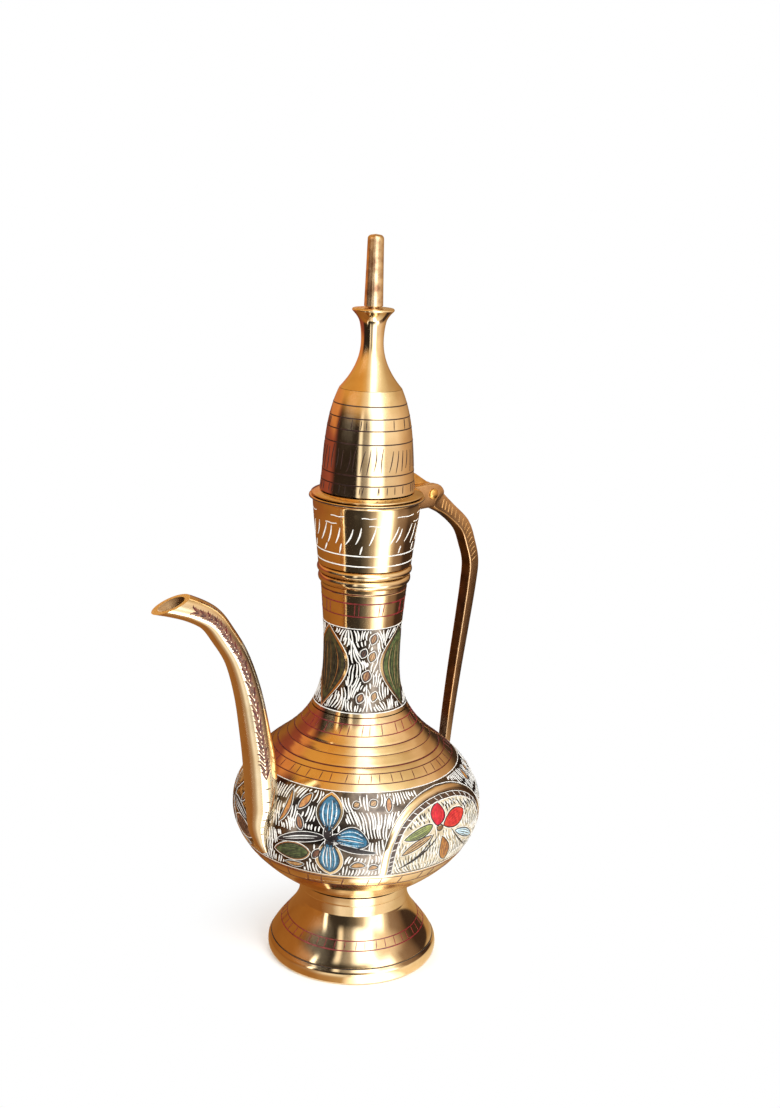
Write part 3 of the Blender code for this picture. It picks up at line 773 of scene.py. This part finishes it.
def ground_metal(name, light, dark):
    """Blackened brass ground between the strokes: it still mirrors a bright window."""
    mat, tree, shader = new_material(name)
    coords = object_coords(tree)
    grain = noise(tree, coords, GROUND_GRAIN, 2.0)
    cloud = noise(tree, coords, GROUND_CLOUDS, 5.0)
    coat(tree, shader, cloud, ((0.35, dark), (0.7, light)), grain, 0.1, 0.24)
    shader.inputs["Metallic"].default_value = 1.0
    return mat


# Light and dark tone of each lac, and the scale of its clouds where it differs
TONES = {
    "white": ((0.88, 0.87, 0.83), (0.72, 0.70, 0.66)),
    "black": ((0.03, 0.022, 0.022), (0.008, 0.007, 0.008)),
    "dark_red": ((0.11, 0.006, 0.006), (0.035, 0.003, 0.003)),
    "ruby": ((0.24, 0.012, 0.018), (0.10, 0.005, 0.007)),
    "maroon": ((0.03, 0.006, 0.005), (0.010, 0.003, 0.003)),
    "crimson": ((0.62, 0.012, 0.04), (0.38, 0.006, 0.02)),
    "scarlet": ((0.66, 0.06, 0.03), (0.45, 0.03, 0.02)),
    "blue": ((0.03, 0.15, 0.26), (0.008, 0.035, 0.065)),
    "sky": ((0.12, 0.38, 0.56), (0.05, 0.20, 0.33)),
    "pale_blue": ((0.62, 0.78, 0.84), (0.42, 0.6, 0.7)),
    "lime": ((0.30, 0.34, 0.09), (0.16, 0.19, 0.05)),
    "green": ((0.11, 0.14, 0.045), (0.03, 0.045, 0.015)),
    "amber": ((0.52, 0.22, 0.035), (0.30, 0.10, 0.02)),
    "brown": ((0.24, 0.10, 0.05), (0.10, 0.04, 0.025)),
    "umber": ((0.10, 0.045, 0.018), (0.035, 0.017, 0.009)),
    "tan": ((0.55, 0.36, 0.17), (0.36, 0.20, 0.08)),
    "pearl": ((0.70, 0.62, 0.46), (0.46, 0.36, 0.22), 500.0),
    "olive": ((0.07, 0.065, 0.02), (0.02, 0.02, 0.01)),
}
FINISHES = {name: lac(f"{name}_lac", *tones) for name, tones in TONES.items()}
FINISHES["ground"] = ground_metal("blackened_ground", (0.23, 0.19, 0.155), (0.085, 0.07, 0.06))
FINISHES["brass"] = FITTING_BRASS
INLAYS = {}


def inlay(finish, body="jug"):
    if (finish, body) not in INLAYS:
        INLAYS[finish, body] = Inlay()
    return INLAYS[finish, body]


GROUND_STEP = 0.6
GROUND_LIFT = 0.03


def ground_band(low, high):
    """Thin closed sleeve of dark ground on a stretch of the jug."""
    sleeve = inlay("ground")
    levels = max(2, round((high - low) / GROUND_STEP))
    rows = ([], [])
    for i in range(levels + 1):
        spots = [surface(360 * k / RING_STEPS, low + (high - low) * i / levels) for k in range(RING_STEPS)]
        for side, height in zip(rows, (GROUND_LIFT, -SINK)):
            side.append([sleeve.bm.verts.new(point + out * height) for point, out in spots])
    bridge(sleeve.bm, rows[0] + rows[1][::-1] + [rows[0][0]])


def motif(finish, leaf, strokes=0, stroke_finishes="", border=0.0, lift=0.12):
    """One filled leaf with a brass border, a white edge line and fine strokes on it."""
    if border:
        inlay("brass").leaf(leaf.grown(border), lift * 0.7)
        inlay("white").outline(leaf.grown(border), 0.1, lift * 0.9)
    inlay(finish).leaf(leaf, lift)
    inlay("black").outline(leaf, 0.2, lift + 0.01)
    for fewer, name in enumerate(stroke_finishes.split()):
        inlay(name).hatch(leaf, strokes - fewer, 0.17, lift + 0.03)


ROW_SHARE = 0.86
ROW_SWAY = 0.17
STROKE_CLEARANCE = 0.2
STROKE_MARGIN = 0.25
# A stroke's ways to fit between motifs: share of its length that is kept, and how far that part moves up
STROKE_TRIMS = ((1.0, 0.0), (0.65, 0.35), (0.65, -0.35), (0.35, 0.65), (0.35, -0.65), (0.3, 0.0))


def zebra(low, high, spacing, length, half, leaves, field, finish="white", lift=0.07):
    """Wavy rows of strokes inside a field: they shorten beside the motifs and stay off them."""
    rows = max(1, round((high - low) / (length * ROW_SHARE)))
    strokes = inlay(finish)
    for row in range(rows):
        middle = low + (high - low) * (row + 0.5) / rows
        count = round(2 * pi * surface_radius(middle) / spacing)
        for angle in around(count, 0.15, 0.5 * (row % 2)):
            z = middle + ROW_SWAY * length * sin(radians(angle * 8) + row * 2.3)
            lean = 0.3 * sin(radians(angle * 9) + row)
            lean += 0.2 * sin(radians(angle * 4) - row)
            bend = 0.4 * cos(radians(angle * 11) - row * 1.7)
            half_length = length * random.uniform(0.42, 0.58)
            width = half * random.uniform(0.8, 1.25)
            turn = degrees(half_length * sin(lean) / surface_radius(z))
            rise = half_length * cos(lean) / hypot(1, surface_rise(z))
            for share, shift in STROKE_TRIMS:
                ends = []
                for part in (shift - share, shift + share):
                    end_z = min(max(z + rise * part, low + STROKE_MARGIN), high - STROKE_MARGIN)
                    ends.append((angle + turn * part, end_z))
                probes = [mix_points(ends[0], ends[1], t) for t in (0.0, 0.5, 1.0)]
                if not all(field(*p) for p in probes):
                    continue
                if any(leaf.holds(*p, STROKE_CLEARANCE) for leaf in leaves for p in probes):
                    continue
                strokes.stroke(ends[0], ends[1], width, lift, bend * share, taper=0.5)
                break


# Rings as (height, half width), and rows of ticks as (finish, low, high, count, half width, slant, jitter)
RINGS = {
    "dark_red": ((37.6, 0.25), (41.3, 0.22), (69.2, 0.2), (71.4, 0.2), (72.7, 0.28), (75.2, 0.14),
                 (77.3, 0.22), (123.3, 0.14)),
    "ruby": ((9.7, 0.22), (12.1, 0.2), (79.8, 0.2), (82.8, 0.2), (116.4, 0.22), (120.5, 0.26)),
    "black": ((5.1, 0.14),),
    "white": ((42.3, 0.14), (67.4, 0.14), (85.9, 0.18), (112.4, 0.15), (132.7, 0.22), (136.0, 0.22)),
}
TICKS = (
    ("ruby", 9.9, 11.9, 44, 0.16, 0.8, 0.3),
    ("dark_red", 38.0, 40.9, 36, 0.24, 1.0, 0.5),
    ("dark_red", 69.4, 71.2, 48, 0.16, 0.6, 0.5),
    ("ruby", 80.0, 82.6, 30, 0.18, 1.5, 0.8),
    ("ruby", 116.7, 120.2, 22, 0.18, 1.0, 1.2),
)
LIP_Z = 151.5
LIP_RADIUS = 17.74


def build_rings():
    for finish, lines in RINGS.items():
        for z, half in lines:
            inlay(finish).ring(z, half)
    lip = []
    for k in range(RING_STEPS):
        a = radians(360 * k / RING_STEPS)
        out = Vector((cos(a), sin(a), 0))
        lip.append((Vector((AXIS_X, 0, LIP_Z)) + out * LIP_RADIUS, out))
    inlay("black").slip(lip, 0.2, 0.03, loop=True)
    for finish, *row in TICKS:
        inlay(finish).ticks(*row)


def build_cup_strokes():
    """White hand-cut strokes in two uneven rows, and broken lines over them."""
    white = inlay("white")
    for i, angle in enumerate(around(30, 0.2)):
        lean = random.uniform(6.0, 12.0)
        top = random.uniform(144.2, 145.4)
        low = random.uniform(138.8, 140.6)
        white.stroke((angle, low), (angle + lean, top), 0.3, bend=random.uniform(-0.45, 0.1), taper=0.35)
        if i % 2:
            foot = angle + 5.0
            white.stroke((foot, 136.6), (foot + lean * 0.4, random.uniform(138.6, 139.8)), 0.3, taper=0.45)
    for z, count in ((148.0, 9), (145.6, 7)):
        for angle in around(count, 0.15):
            reach = random.uniform(14, 26)
            white.band([(angle + reach * k / 8, z + 0.1 * sin(k)) for k in range(9)], 0.15, STROKE_LIFT)


def build_lid_rings():
    red = inlay("maroon", "lid")
    for z in (180.5, 176.9, 173.5, 169.5, 160.2, 157.2):
        red.ring(z, 0.22)
    red.ticks(173.8, 176.6, 20, 0.18, 1.5, 1.5)
    red.ticks(154.6, 156.9, 34, 0.18, 1.0, 1.0)
    for angle in around(40, 0.25):
        low = random.uniform(160.6, 162.2)
        high = random.uniform(167.2, 169.2)
        end = (angle + random.uniform(2, 6), high)
        red.stroke((angle, low), end, 0.21, bend=random.uniform(-0.4, 0.4), taper=0.4)


# Neck buds between the broad leaves: finish, degrees from the leaf, height, length and half width
NECK_LEAF = -9.5
NECK_BUDS = (
    ("brown", 70, 109.2, 3.2, 1.0),
    ("black", 56, 104.6, 2.6, 0.9),
    ("tan", 69, 103.4, 3.2, 1.1),
    ("brown", 61, 97.2, 3.4, 1.25),
    ("brown", 53, 90.4, 2.6, 1.0),
    ("tan", 72, 90.8, 2.6, 0.9),
)


def build_neck_panel():
    """Dark ground with three broad leaves, small buds and wavy rows of white strokes."""
    ground_band(86.0, 112.3)
    leaves = []
    for k in range(3):
        angle = NECK_LEAF + 120 * k
        leaf = Leaf((angle, 86.9), (angle, 111.3), 6.3, peak=0.56, full=1.1)
        # Every other leaf is olive, a darker copy of the green, with amber in place of tan and more black
        # hatch: painted shade
        motif("green" if k % 2 else "olive", leaf)
        inlay("tan" if k % 2 else "amber").hatch(leaf, 4, 0.14, 0.15)
        inlay("black").hatch(leaf, 9 if k % 2 else 14, 0.17, 0.17)
        inlay("brass").outline(leaf.grown(0.65), 0.55, 0.1)
        inlay("white").outline(leaf.grown(1.25), 0.13, 0.08)
        leaves.append(leaf.grown(1.35))
        for finish, turn, z, tall, half in NECK_BUDS:
            bud = Leaf((angle + turn, z - tall / 2), (angle + turn + 5, z + tall / 2), half)
            motif(finish, bud, 2, "tan" if finish == "brown" else "brown", lift=0.1)
            inlay("white").outline(bud.grown(0.3), 0.14, 0.1)
            leaves.append(bud.grown(0.4))
    zebra(86.2, 112.2, 0.95, 4.5, 0.29, leaves, lambda angle, z: True)


# Belly flower between spout and medallion: finish, base, tip, half width, peak and bend, and for some
# the number of fine strokes, their finishes and the width of a brass border
FLOWER = (
    ("blue", (33.8, 57.2), (32.4, 66.3), 3.3, 0.58, 0.0, 5, "sky white", 0.9),
    ("blue", (36.4, 55.3), (51.4, 54.2), 3.0, 0.52, 0.9, 5, "sky white"),
    ("blue", (34.3, 54.6), (34.6, 43.7), 3.2, 0.56, 0.0, 5, "sky white", 1.1),
    ("black", (33.6, 54.9), (33.1, 60.6), 1.1, 0.3, 0.0),
    ("black", (34.4, 55.6), (34.5, 49.6), 1.1, 0.3, 0.0),
    ("black", (35.0, 55.2), (43.0, 54.9), 1.0, 0.3, 0.4),
    ("black", (32.0, 55.3), (9.5, 51.8), 1.25, 0.45, -0.7, 2, "white"),
    ("black", (37.2, 53.6), (55.0, 51.3), 0.6, 0.4, -0.4),
    ("green", (25.0, 49.9), (8.4, 48.3), 2.5, 0.45, 0.0, 7, "black", 0.7),
    ("amber", (17.3, 61.9), (21.9, 65.9), 1.15, 0.5, 0.0),
    ("brown", (20.8, 56.6), (18.0, 60.2), 0.95, 0.45, 0.0, 2, "amber"),
    ("amber", (8.8, 57.0), (10.4, 66.0), 0.8, 0.5, -1.2),
    ("brown", (30.0, 51.4), (27.2, 48.4), 0.85, 0.5, 0.0),
    ("tan", (44.2, 64.1), (47.2, 64.9), 0.9, 0.5, 0.0, 2, "brown"),
    ("tan", (52.6, 64.4), (55.8, 65.4), 0.95, 0.5, 0.0, 2, "brown"),
    ("amber", (61.4, 62.6), (62.5, 66.0), 0.85, 0.5, 0.0),
    ("tan", (44.0, 46.4), (50.4, 46.9), 1.0, 0.5, 0.5, 2, "amber"),
    ("tan", (52.0, 45.5), (56.2, 46.3), 0.9, 0.5, 0.4, 2, "amber"),
    ("tan", (12.5, 44.4), (22.0, 45.2), 0.9, 0.5, -0.4, 2, "amber"),
)
# The flower on the spout's left is a darker gold and brown copy, as painted shade: its finishes in place of
# those above, and where it stands
SHADED_FLOWER_FINISHES = {"blue": "amber", "green": "brown", "sky white": "umber tan"}
SHADED_SIDE_START = 313.0
SHADED_SIDE_END = 356.0
MEDALLION_CENTRE = 92.0
MEDALLION = (
    ("crimson", (85.2, 56.6), (88.4, 62.5), 2.75, 0.5, 0.0, 5, "scarlet"),
    ("scarlet", (88.8, 56.1), (104.8, 57.7), 2.6, 0.52, 0.0, 6, "crimson"),
    ("lime", (82.6, 57.2), (67.6, 54.4), 1.5, 0.45, 0.3, 4, "black"),
    ("tan", (81.5, 54.2), (66.5, 49.6), 1.1, 0.5, -0.4, 2, "black"),
    ("amber", (87.4, 53.0), (91.4, 44.2), 2.0, 0.58, 0.0, 4, "brown"),
    ("pale_blue", (96.0, 53.0), (112.0, 47.6), 1.3, 0.5, 0.3, 3, "olive"),
    ("brass", (84.6, 55.6), (88.4, 56.0), 0.9, 0.5, 0.0),
)
# Stems in the medallion: base, tip and bend
STEMS = (
    ((82.4, 54.4), (68.0, 45.8), 0.9),
    ((84.5, 53.4), (66.0, 44.9), 0.7),
    ((93.5, 54.2), (108.0, 45.2), -0.8),
)
# Half outline of the medallion: degrees from its middle, height
ARCH = ((0, 66.4), (10.5, 65.7), (20, 63.6), (27.8, 59.8), (32.3, 54.6), (34.1, 49.5), (34.4, 46.0),
        (34.4, 42.7))
ARCH_SCALE = 0.66
PANEL_LOW = 42.5
PANEL_HIGH = 67.3
STROKES_LOW = 42.6
STROKES_HIGH = 67.2


def arch_half(inward):
    """Half of the medallion's outline, drawn in by a distance in mm."""
    half = inset([(d * ARCH_SCALE, z) for d, z in smooth_path(ARCH, 6)], -inward)
    return [(d / ARCH_SCALE, z) for d, z in half]


def arch_line(inward, mirror):
    half = arch_half(inward)
    line = [(MEDALLION_CENTRE - d, z) for d, z in half[:0:-1]] + [(MEDALLION_CENTRE + d, z) for d, z in half]
    return [(mirror * a, z) for a, z in line]


def arch_reach(half, z):
    """Half angle of the medallion at a height, below zero above its top."""
    for (d0, z0), (d1, z1) in zip(half, half[1:]):
        if z1 <= z <= z0:
            return d0 + (d1 - d0) * (z0 - z) / (z0 - z1)
    return -1.0 if z > half[0][1] else half[-1][0]


class ArchLeaf(Leaf):
    """The inside of the medallion as one filled shape."""

    def __init__(self, middle, inward):
        self.half_line = arch_half(inward)
        super().__init__((middle, PANEL_LOW + 0.3), (middle, self.half_line[0][1]), 1.0)

    def width(self, t):
        return max(0.0, arch_reach(self.half_line, mix_points(self.base, self.tip, t)[1])) * self.per_degree


def in_arch(half, angle, z):
    reach = arch_reach(half, z)
    return any(abs((angle - middle + 180) % 360 - 180) < reach
               for middle in (MEDALLION_CENTRE, -MEDALLION_CENTRE))


def build_motifs(rows, mirror, flip=False, swaps={}):
    """Draw a table of motifs on one side, turned over about the medallion's middle when flipped."""
    leaves = []
    for row in rows:
        finish, base, tip, half, peak, bend, *trim = [swaps.get(value, value) for value in row]
        ends = [(mirror * (2 * MEDALLION_CENTRE - a if flip else a), z) for a, z in (base, tip)]
        leaf = Leaf(ends[0], ends[1], half, peak, bend * mirror * (-1 if flip else 1), 0.7)
        motif(finish, leaf, *trim)
        border = trim[2] if len(trim) > 2 else 0.0
        if not border and finish != "brass":
            inlay("white").outline(leaf.grown(0.34), 0.1, 0.1)
        leaves.append(leaf.grown(border + 0.3))
    return leaves


def build_belly_panel():
    """Two mirrored sides, each with a medallion between two flowers, on wavy rows of strokes."""
    ground_band(PANEL_LOW, PANEL_HIGH)
    leaves = []
    for mirror in (1, -1):
        inlay("pearl").leaf(ArchLeaf(mirror * MEDALLION_CENTRE, 3.5), 0.08, 24, 28)
        # On the spout's left the flower takes darker gold and brown finishes: painted shade
        leaves += build_motifs(FLOWER, mirror, swaps=SHADED_FLOWER_FINISHES if mirror < 0 else {})
        leaves += build_motifs(FLOWER, mirror, True)
        leaves += build_motifs(MEDALLION, mirror)
        for finish, inward, half, lift in (("brass", 1.0, 1.1, 0.14), ("umber", 2.85, 0.75, 0.1)):
            inlay(finish).band(arch_line(inward, mirror), half, lift)
        for k, (a, b) in enumerate(zip(arch_line(2.25, mirror), arch_line(3.45, mirror)[1:])):
            inlay("black" if k % 3 else "white").stroke(a, b, 0.15, 0.13)
        for inward, half in ((-0.2, 0.12), (2.15, 0.1), (3.6, 0.14)):
            inlay("white").band(arch_line(inward, mirror), half, 0.15)
        for start, end, bend in STEMS:
            inlay("black").stroke((mirror * start[0], start[1]), (mirror * end[0], end[1]), 0.26, 0.27,
                                  bend * mirror, steps=8)
    outside = arch_half(-0.2)
    inside = arch_half(3.8)

    # Strip left of the spout whose flower and strokes are darkened as painted shade
    def on_shaded_side(angle, z):
        return SHADED_SIDE_START < angle % 360 < SHADED_SIDE_END

    def ground(angle, z):
        return not in_arch(outside, angle, z) and not on_shaded_side(angle, z)

    def medallion(angle, z):
        return in_arch(inside, angle, z)

    zebra(STROKES_LOW, STROKES_HIGH, 1.0, 4.5, 0.31, leaves, ground)
    # Amber strokes in place of white on the strip left of the spout: painted shade
    zebra(STROKES_LOW, STROKES_HIGH, 1.0, 4.5, 0.27, leaves, on_shaded_side, "amber")
    zebra(42.9, 67.0, 1.0, 3.8, 0.17, leaves, medallion, "olive", 0.11)
    zebra(42.9, 67.0, 1.2, 3.2, 0.26, leaves, medallion, "white", 0.13)
    zebra(57.0, 63.4, 1.7, 2.4, 0.24, leaves, medallion, "black", 0.2)


# Stations along the handle with a tick, stations along the spout where its root ticks and its feather begin,
# and how far from the tip the feather ends
HANDLE_TICKS = range(18, 48, 2)
ROOT_START = 13
FEATHER_START = 30
FEATHER_END = 15


def build_spout_feather():
    """Red and brown feather strokes along each side of the spout, and small ticks near its root."""
    frames = sweep_frames(spout_stations())

    def spot(i, angle):
        centre, side, point = frames[i]
        a = radians(angle)
        out = side * cos(a) + Vector((0, sin(a), 0))
        return centre + out * point[2], out

    for mirror in (1, -1):
        for i in range(FEATHER_START, len(frames) - FEATHER_END):
            middle = 62 + 30 * i / len(frames)
            for side in (1, -1):
                reach = side * random.uniform(16, 26)
                barb = [spot(i + min(k, 2), mirror * (-middle - reach * k / 3)) for k in range(4)]
                finish = ("brown", "dark_red", "brown")[(i + side) % 3]
                inlay(finish).slip(barb, [0.18, 0.38, 0.32, 0.08], LINE_LIFT)
        for i in range(ROOT_START, FEATHER_START, 3):
            reach = random.uniform(14, 24)
            tick = [spot(i, mirror * (-64 - reach * k / 2)) for k in range(3)]
            inlay("maroon").slip(tick, [0.16, 0.28, 0.14], LINE_LIFT)


def build_handle_ticks():
    """Pale slanted ticks on both side faces of the upper handle."""
    frames = sweep_frames(handle_stations())
    for mirror in (1, -1):
        out = Vector((0, mirror, 0))
        for i in HANDLE_TICKS:
            centre, side, point = frames[i]
            after = frames[i + 1][0]
            face = out * (point[3] / 2)
            slant = side * (point[2] * 0.26)
            start = centre + face + slant
            end = after + face - slant
            tick = [(start.lerp(end, k / 3), out) for k in range(4)]
            inlay("brass").slip(tick, [0.09, 0.22, 0.2, 0.08], 0.09)


def finish_inlays():
    for (finish, body), gathered in INLAYS.items():
        slot = "lid_brass" if body == "lid" else "body_brass"
        add_piece(f"{body}_{finish}_inlay", gathered.bm, FINISHES[finish], body, slot, sharp=INLAY_SHARP)


# Stage, light and camera

FLOOR_RADIUS = 3000.0
SHADOW_START = 20.0
SHADOW_END = 60.0


def background_rays(tree):
    """One for rays that show the background: straight to the camera, or by gloss or glass."""
    path = tree.nodes.new("ShaderNodeLightPath").outputs
    shown = path["Is Camera Ray"]
    for name in ("Is Glossy Ray", "Is Transmission Ray"):
        shown = add_node(tree, "Math", {0: shown, 1: path[name]}, operation="MAXIMUM")
    return shown


def rise(tree, value, start, end):
    """Smooth 0 to 1 while a length goes from start to end in millimetres."""
    ends = {"Value": value, "From Min": start * MM, "From Max": end * MM}
    return add_node(tree, "MapRange", ends, "Result", interpolation_type="SMOOTHSTEP")


def show(tree, out, target="Material Output"):
    tree.links.new(out, tree.nodes[target].inputs["Surface"])


def staged(name, bm, mat):
    """Part of the stage, on the jug's axis."""
    thing = placed(name, mesh_of(bm, name))
    thing.location = (AXIS_X * MM, 0, 0)
    thing.data.materials.append(mat)
    return thing


def build_floor():
    """Pale floor that fades to plain white away from the jug."""
    mat, tree, shader = new_material("floor_pale")
    shader.inputs["Base Color"].default_value = (0.93, 0.93, 0.92, 1.0)
    shader.inputs["Roughness"].default_value = 0.9
    shader.inputs["Specular IOR Level"].default_value = 0.0
    distance = add_node(tree, "VectorMath", {0: object_coords(tree)}, "Value", operation="LENGTH")
    fade = rise(tree, distance, SHADOW_START, SHADOW_END)
    share = add_node(tree, "Math", {0: fade, 1: background_rays(tree)}, operation="MULTIPLY")
    glow = add_node(tree, "Emission", {})
    show(tree, add_node(tree, "MixShader", {0: share, 1: shader.outputs["BSDF"], 2: glow}))
    bm = bmesh.new()
    bmesh.ops.create_circle(bm, cap_ends=True, segments=96, radius=FLOOR_RADIUS)
    staged("floor", bm, mat)


# Reflection cards round the jug, from the floor up: (degrees to the right of the camera, red, green, blue)
RIM_CARDS = (
    (-180, 0.35, 0.15, 0.04), (-30, 0.42, 0.2, 0.06), (-6, 0.6, 0.4, 0.2), (8, 3.4, 3.3, 3.1),
    (30, 3.4, 3.3, 3.1), (42, 1.2, 1.0, 0.72), (90, 0.8, 0.62, 0.38), (130, 0.5, 0.3, 0.12))
FLOOR_CARDS = (
    (-180, 0.35, 0.15, 0.04), (-60, 0.32, 0.13, 0.035), (-36, 0.5, 0.36, 0.24), (-22, 1.1, 1.0, 0.86),
    (0, 0.95, 0.86, 0.72), (8, 4.0, 4.0, 3.9), (30, 4.0, 4.0, 3.9), (42, 1.3, 1.15, 0.95),
    (90, 0.8, 0.66, 0.46), (130, 0.5, 0.3, 0.12))
LOW_CARDS = (
    (-180, 0.08, 0.04, 0.02), (-150, 0.3, 0.12, 0.028), (-62, 0.44, 0.185, 0.043),
    (-54, 0.3, 0.13, 0.03), (-52, 2.6, 2.5, 2.3), (-48, 2.6, 2.5, 2.3), (-46, 0.04, 0.03, 0.025),
    (-10, 0.05, 0.045, 0.04), (6, 0.2, 0.17, 0.14), (20, 0.72, 0.62, 0.5), (28, 1.8, 1.75, 1.6),
    (36, 3.0, 2.95, 2.85), (54, 3.0, 2.95, 2.85), (62, 0.95, 0.8, 0.62), (72, 0.36, 0.25, 0.18),
    (92, 0.24, 0.15, 0.1), (104, 0.06, 0.035, 0.025), (150, 0.05, 0.03, 0.02))
# Front that the next two layers share
FRONT_CARDS = (
    (-92, 0.18, 0.05, 0.04), (-86, 0.03, 0.02, 0.016), (-26, 0.025, 0.018, 0.016),
    (-22, 1.4, 1.3, 1.15), (-18, 1.4, 1.3, 1.15), (-14, 0.26, 0.23, 0.2), (-1, 0.55, 0.5, 0.44),
    (11, 2.8, 2.8, 2.8), (34, 2.8, 2.8, 2.8))
HIGH_CARDS = (
    (-180, 0.16, 0.05, 0.03), (-104, 0.36, 0.085, 0.055), *FRONT_CARDS, (42, 1.0, 0.88, 0.72),
    (78, 0.92, 0.72, 0.54), (104, 0.7, 0.46, 0.27), (160, 0.3, 0.15, 0.05))
UPPER_CARDS = (
    (-180, 0.62, 0.24, 0.09), (-104, 0.76, 0.3, 0.1), *FRONT_CARDS, (42, 1.2, 1.08, 0.9),
    (78, 1.1, 0.9, 0.68), (104, 0.85, 0.62, 0.4), (160, 0.4, 0.22, 0.08))
TOP_CARDS = (
    (-180, 0.6, 0.31, 0.08), (-60, 0.8, 0.4, 0.09), (-34, 0.85, 0.52, 0.2), (-8, 1.1, 0.96, 0.76),
    (4, 2.6, 2.55, 2.45), (34, 2.6, 2.55, 2.45), (50, 1.3, 1.2, 0.96), (72, 1.0, 0.84, 0.56),
    (104, 0.66, 0.47, 0.26), (150, 0.5, 0.28, 0.1))
# The layers over the lowest one, and the heights between which each takes over
LAYERS = ((FLOOR_CARDS, 0.22, 0.36), (LOW_CARDS, 1, 12), (HIGH_CARDS, 80, 132), (UPPER_CARDS, 158, 182),
          (TOP_CARDS, 200, 260))
CARD_STEPS = 96
CARD_GAP = 27.7
CARD_RADIUS = 170.0
CARD_HEIGHT = 380.0


def build_cards():
    """Bowl of reflection cards under, round and over the jug that only the gloss of the metal sees."""
    mat, tree, shader = new_material("reflection_cards")
    tree.nodes.remove(shader)
    split = tree.nodes.new("ShaderNodeSeparateXYZ")
    tree.links.new(object_coords(tree), split.inputs["Vector"])
    angle = add_node(tree, "Math", {0: split.outputs["Y"], 1: split.outputs["X"]}, operation="ARCTAN2")
    scaled = {0: angle, 1: 1 / (2 * pi), 2: 1.5 - CAMERA_TURN / 360}
    turn = add_node(tree, "Math", scaled, operation="MULTIPLY_ADD")
    share = add_node(tree, "Math", {0: turn}, operation="FRACT")

    def layer(cards):
        return ramp(tree, share, [((a + 180) / 360, colour) for a, *colour in cards])

    colours = layer(RIM_CARDS)
    for cards, start, end in LAYERS:
        both = {"Factor": rise(tree, split.outputs["Z"], start, end), "A": colours, "B": layer(cards)}
        colours = add_node(tree, "Mix", both, "Result", data_type="RGBA")
    show(tree, add_node(tree, "Emission", {"Color": colours}))

    outline = [(CARD_GAP, 0.2), (60.0, 0.5), (CARD_RADIUS, 0.9)]
    for a in (0, 15, 30, 45, 60, 75, 88):
        outline.append((CARD_RADIUS * cos(radians(a)),
                        CARD_HEIGHT + CARD_RADIUS * sin(radians(a))))
    bm = revolve(outline, CARD_STEPS, lambda x, y, z: (x, y, z), closed=False)
    cards = staged("reflection_cards", bm, mat)
    cards.visible_camera = False
    cards.visible_diffuse = False
    cards.visible_shadow = False
    cards.visible_transmission = False


# Lamps: degrees to the right of the camera, distance, height, size and power
LAMPS = {
    "window": (42, 700, 620, 420, 6.6),
    "fill": (-60, 800, 500, 500, 3.0),
    "back": (190, 800, 600, 500, 4.0),
}
LAMP_AIM = 0.1


def build_light():
    world = bpy.data.worlds.new("studio")
    bpy.context.scene.world = world
    world.use_nodes = True
    tree = world.node_tree
    sky = tree.nodes["Background"]
    sky.inputs["Color"].default_value = (1.0, 0.99, 0.97, 1.0)
    sky.inputs["Strength"].default_value = 0.55
    backdrop = add_node(tree, "Background", {"Color": (1.0, 1.0, 1.0, 1.0)})
    both = {0: background_rays(tree), 1: sky.outputs["Background"], 2: backdrop}
    show(tree, add_node(tree, "MixShader", both), "World Output")
    for name, (turn, distance, height, size, power) in LAMPS.items():
        lamp = bpy.data.lights.new(name, "AREA")
        lamp.size = size * MM
        lamp.energy = power
        holder = placed(name, lamp)
        a = radians(CAMERA_TURN + turn)
        holder.location = ((AXIS_X + distance * cos(a)) * MM, distance * sin(a) * MM, height * MM)
        aim = Vector((AXIS_X * MM, 0, LAMP_AIM)) - holder.location
        holder.rotation_euler = aim.to_track_quat("-Z", "Y").to_euler()


def build_camera():
    lens = bpy.data.cameras.new("camera")
    lens.sensor_width = SENSOR
    lens.lens = FOCAL_PIXELS * SENSOR / IMAGE_HEIGHT
    lens.clip_start = 0.01
    turn = radians(CAMERA_TURN)
    x = AXIS_X + CAMERA_DISTANCE * cos(turn)
    y = CAMERA_DISTANCE * sin(turn)
    turns = ((CAMERA_TURN + 90 - CAMERA_YAW, "Z"), (90 - CAMERA_PITCH, "X"), (CAMERA_ROLL, "Z"))
    pose = Matrix.Translation(Vector((x, y, CAMERA_HEIGHT)) * MM)
    for angle, axis in turns:
        pose = pose @ Matrix.Rotation(radians(angle), 4, axis)
    eye = placed("camera", lens)
    eye.matrix_world = pose
    bpy.context.scene.camera = eye


build_foot()
build_belly()
build_neck()
build_cup()
build_lid()
build_spout()
build_handle()
build_hinge()
random.seed(7)
build_rings()
build_cup_strokes()
build_lid_rings()
build_neck_panel()
build_belly_panel()
build_spout_feather()
build_handle_ticks()
finish_inlays()
build_floor()
build_cards()
build_light()
build_camera()
bpy.context.scene.view_settings.view_transform = "Standard"

bpy.context.view_layer.update()
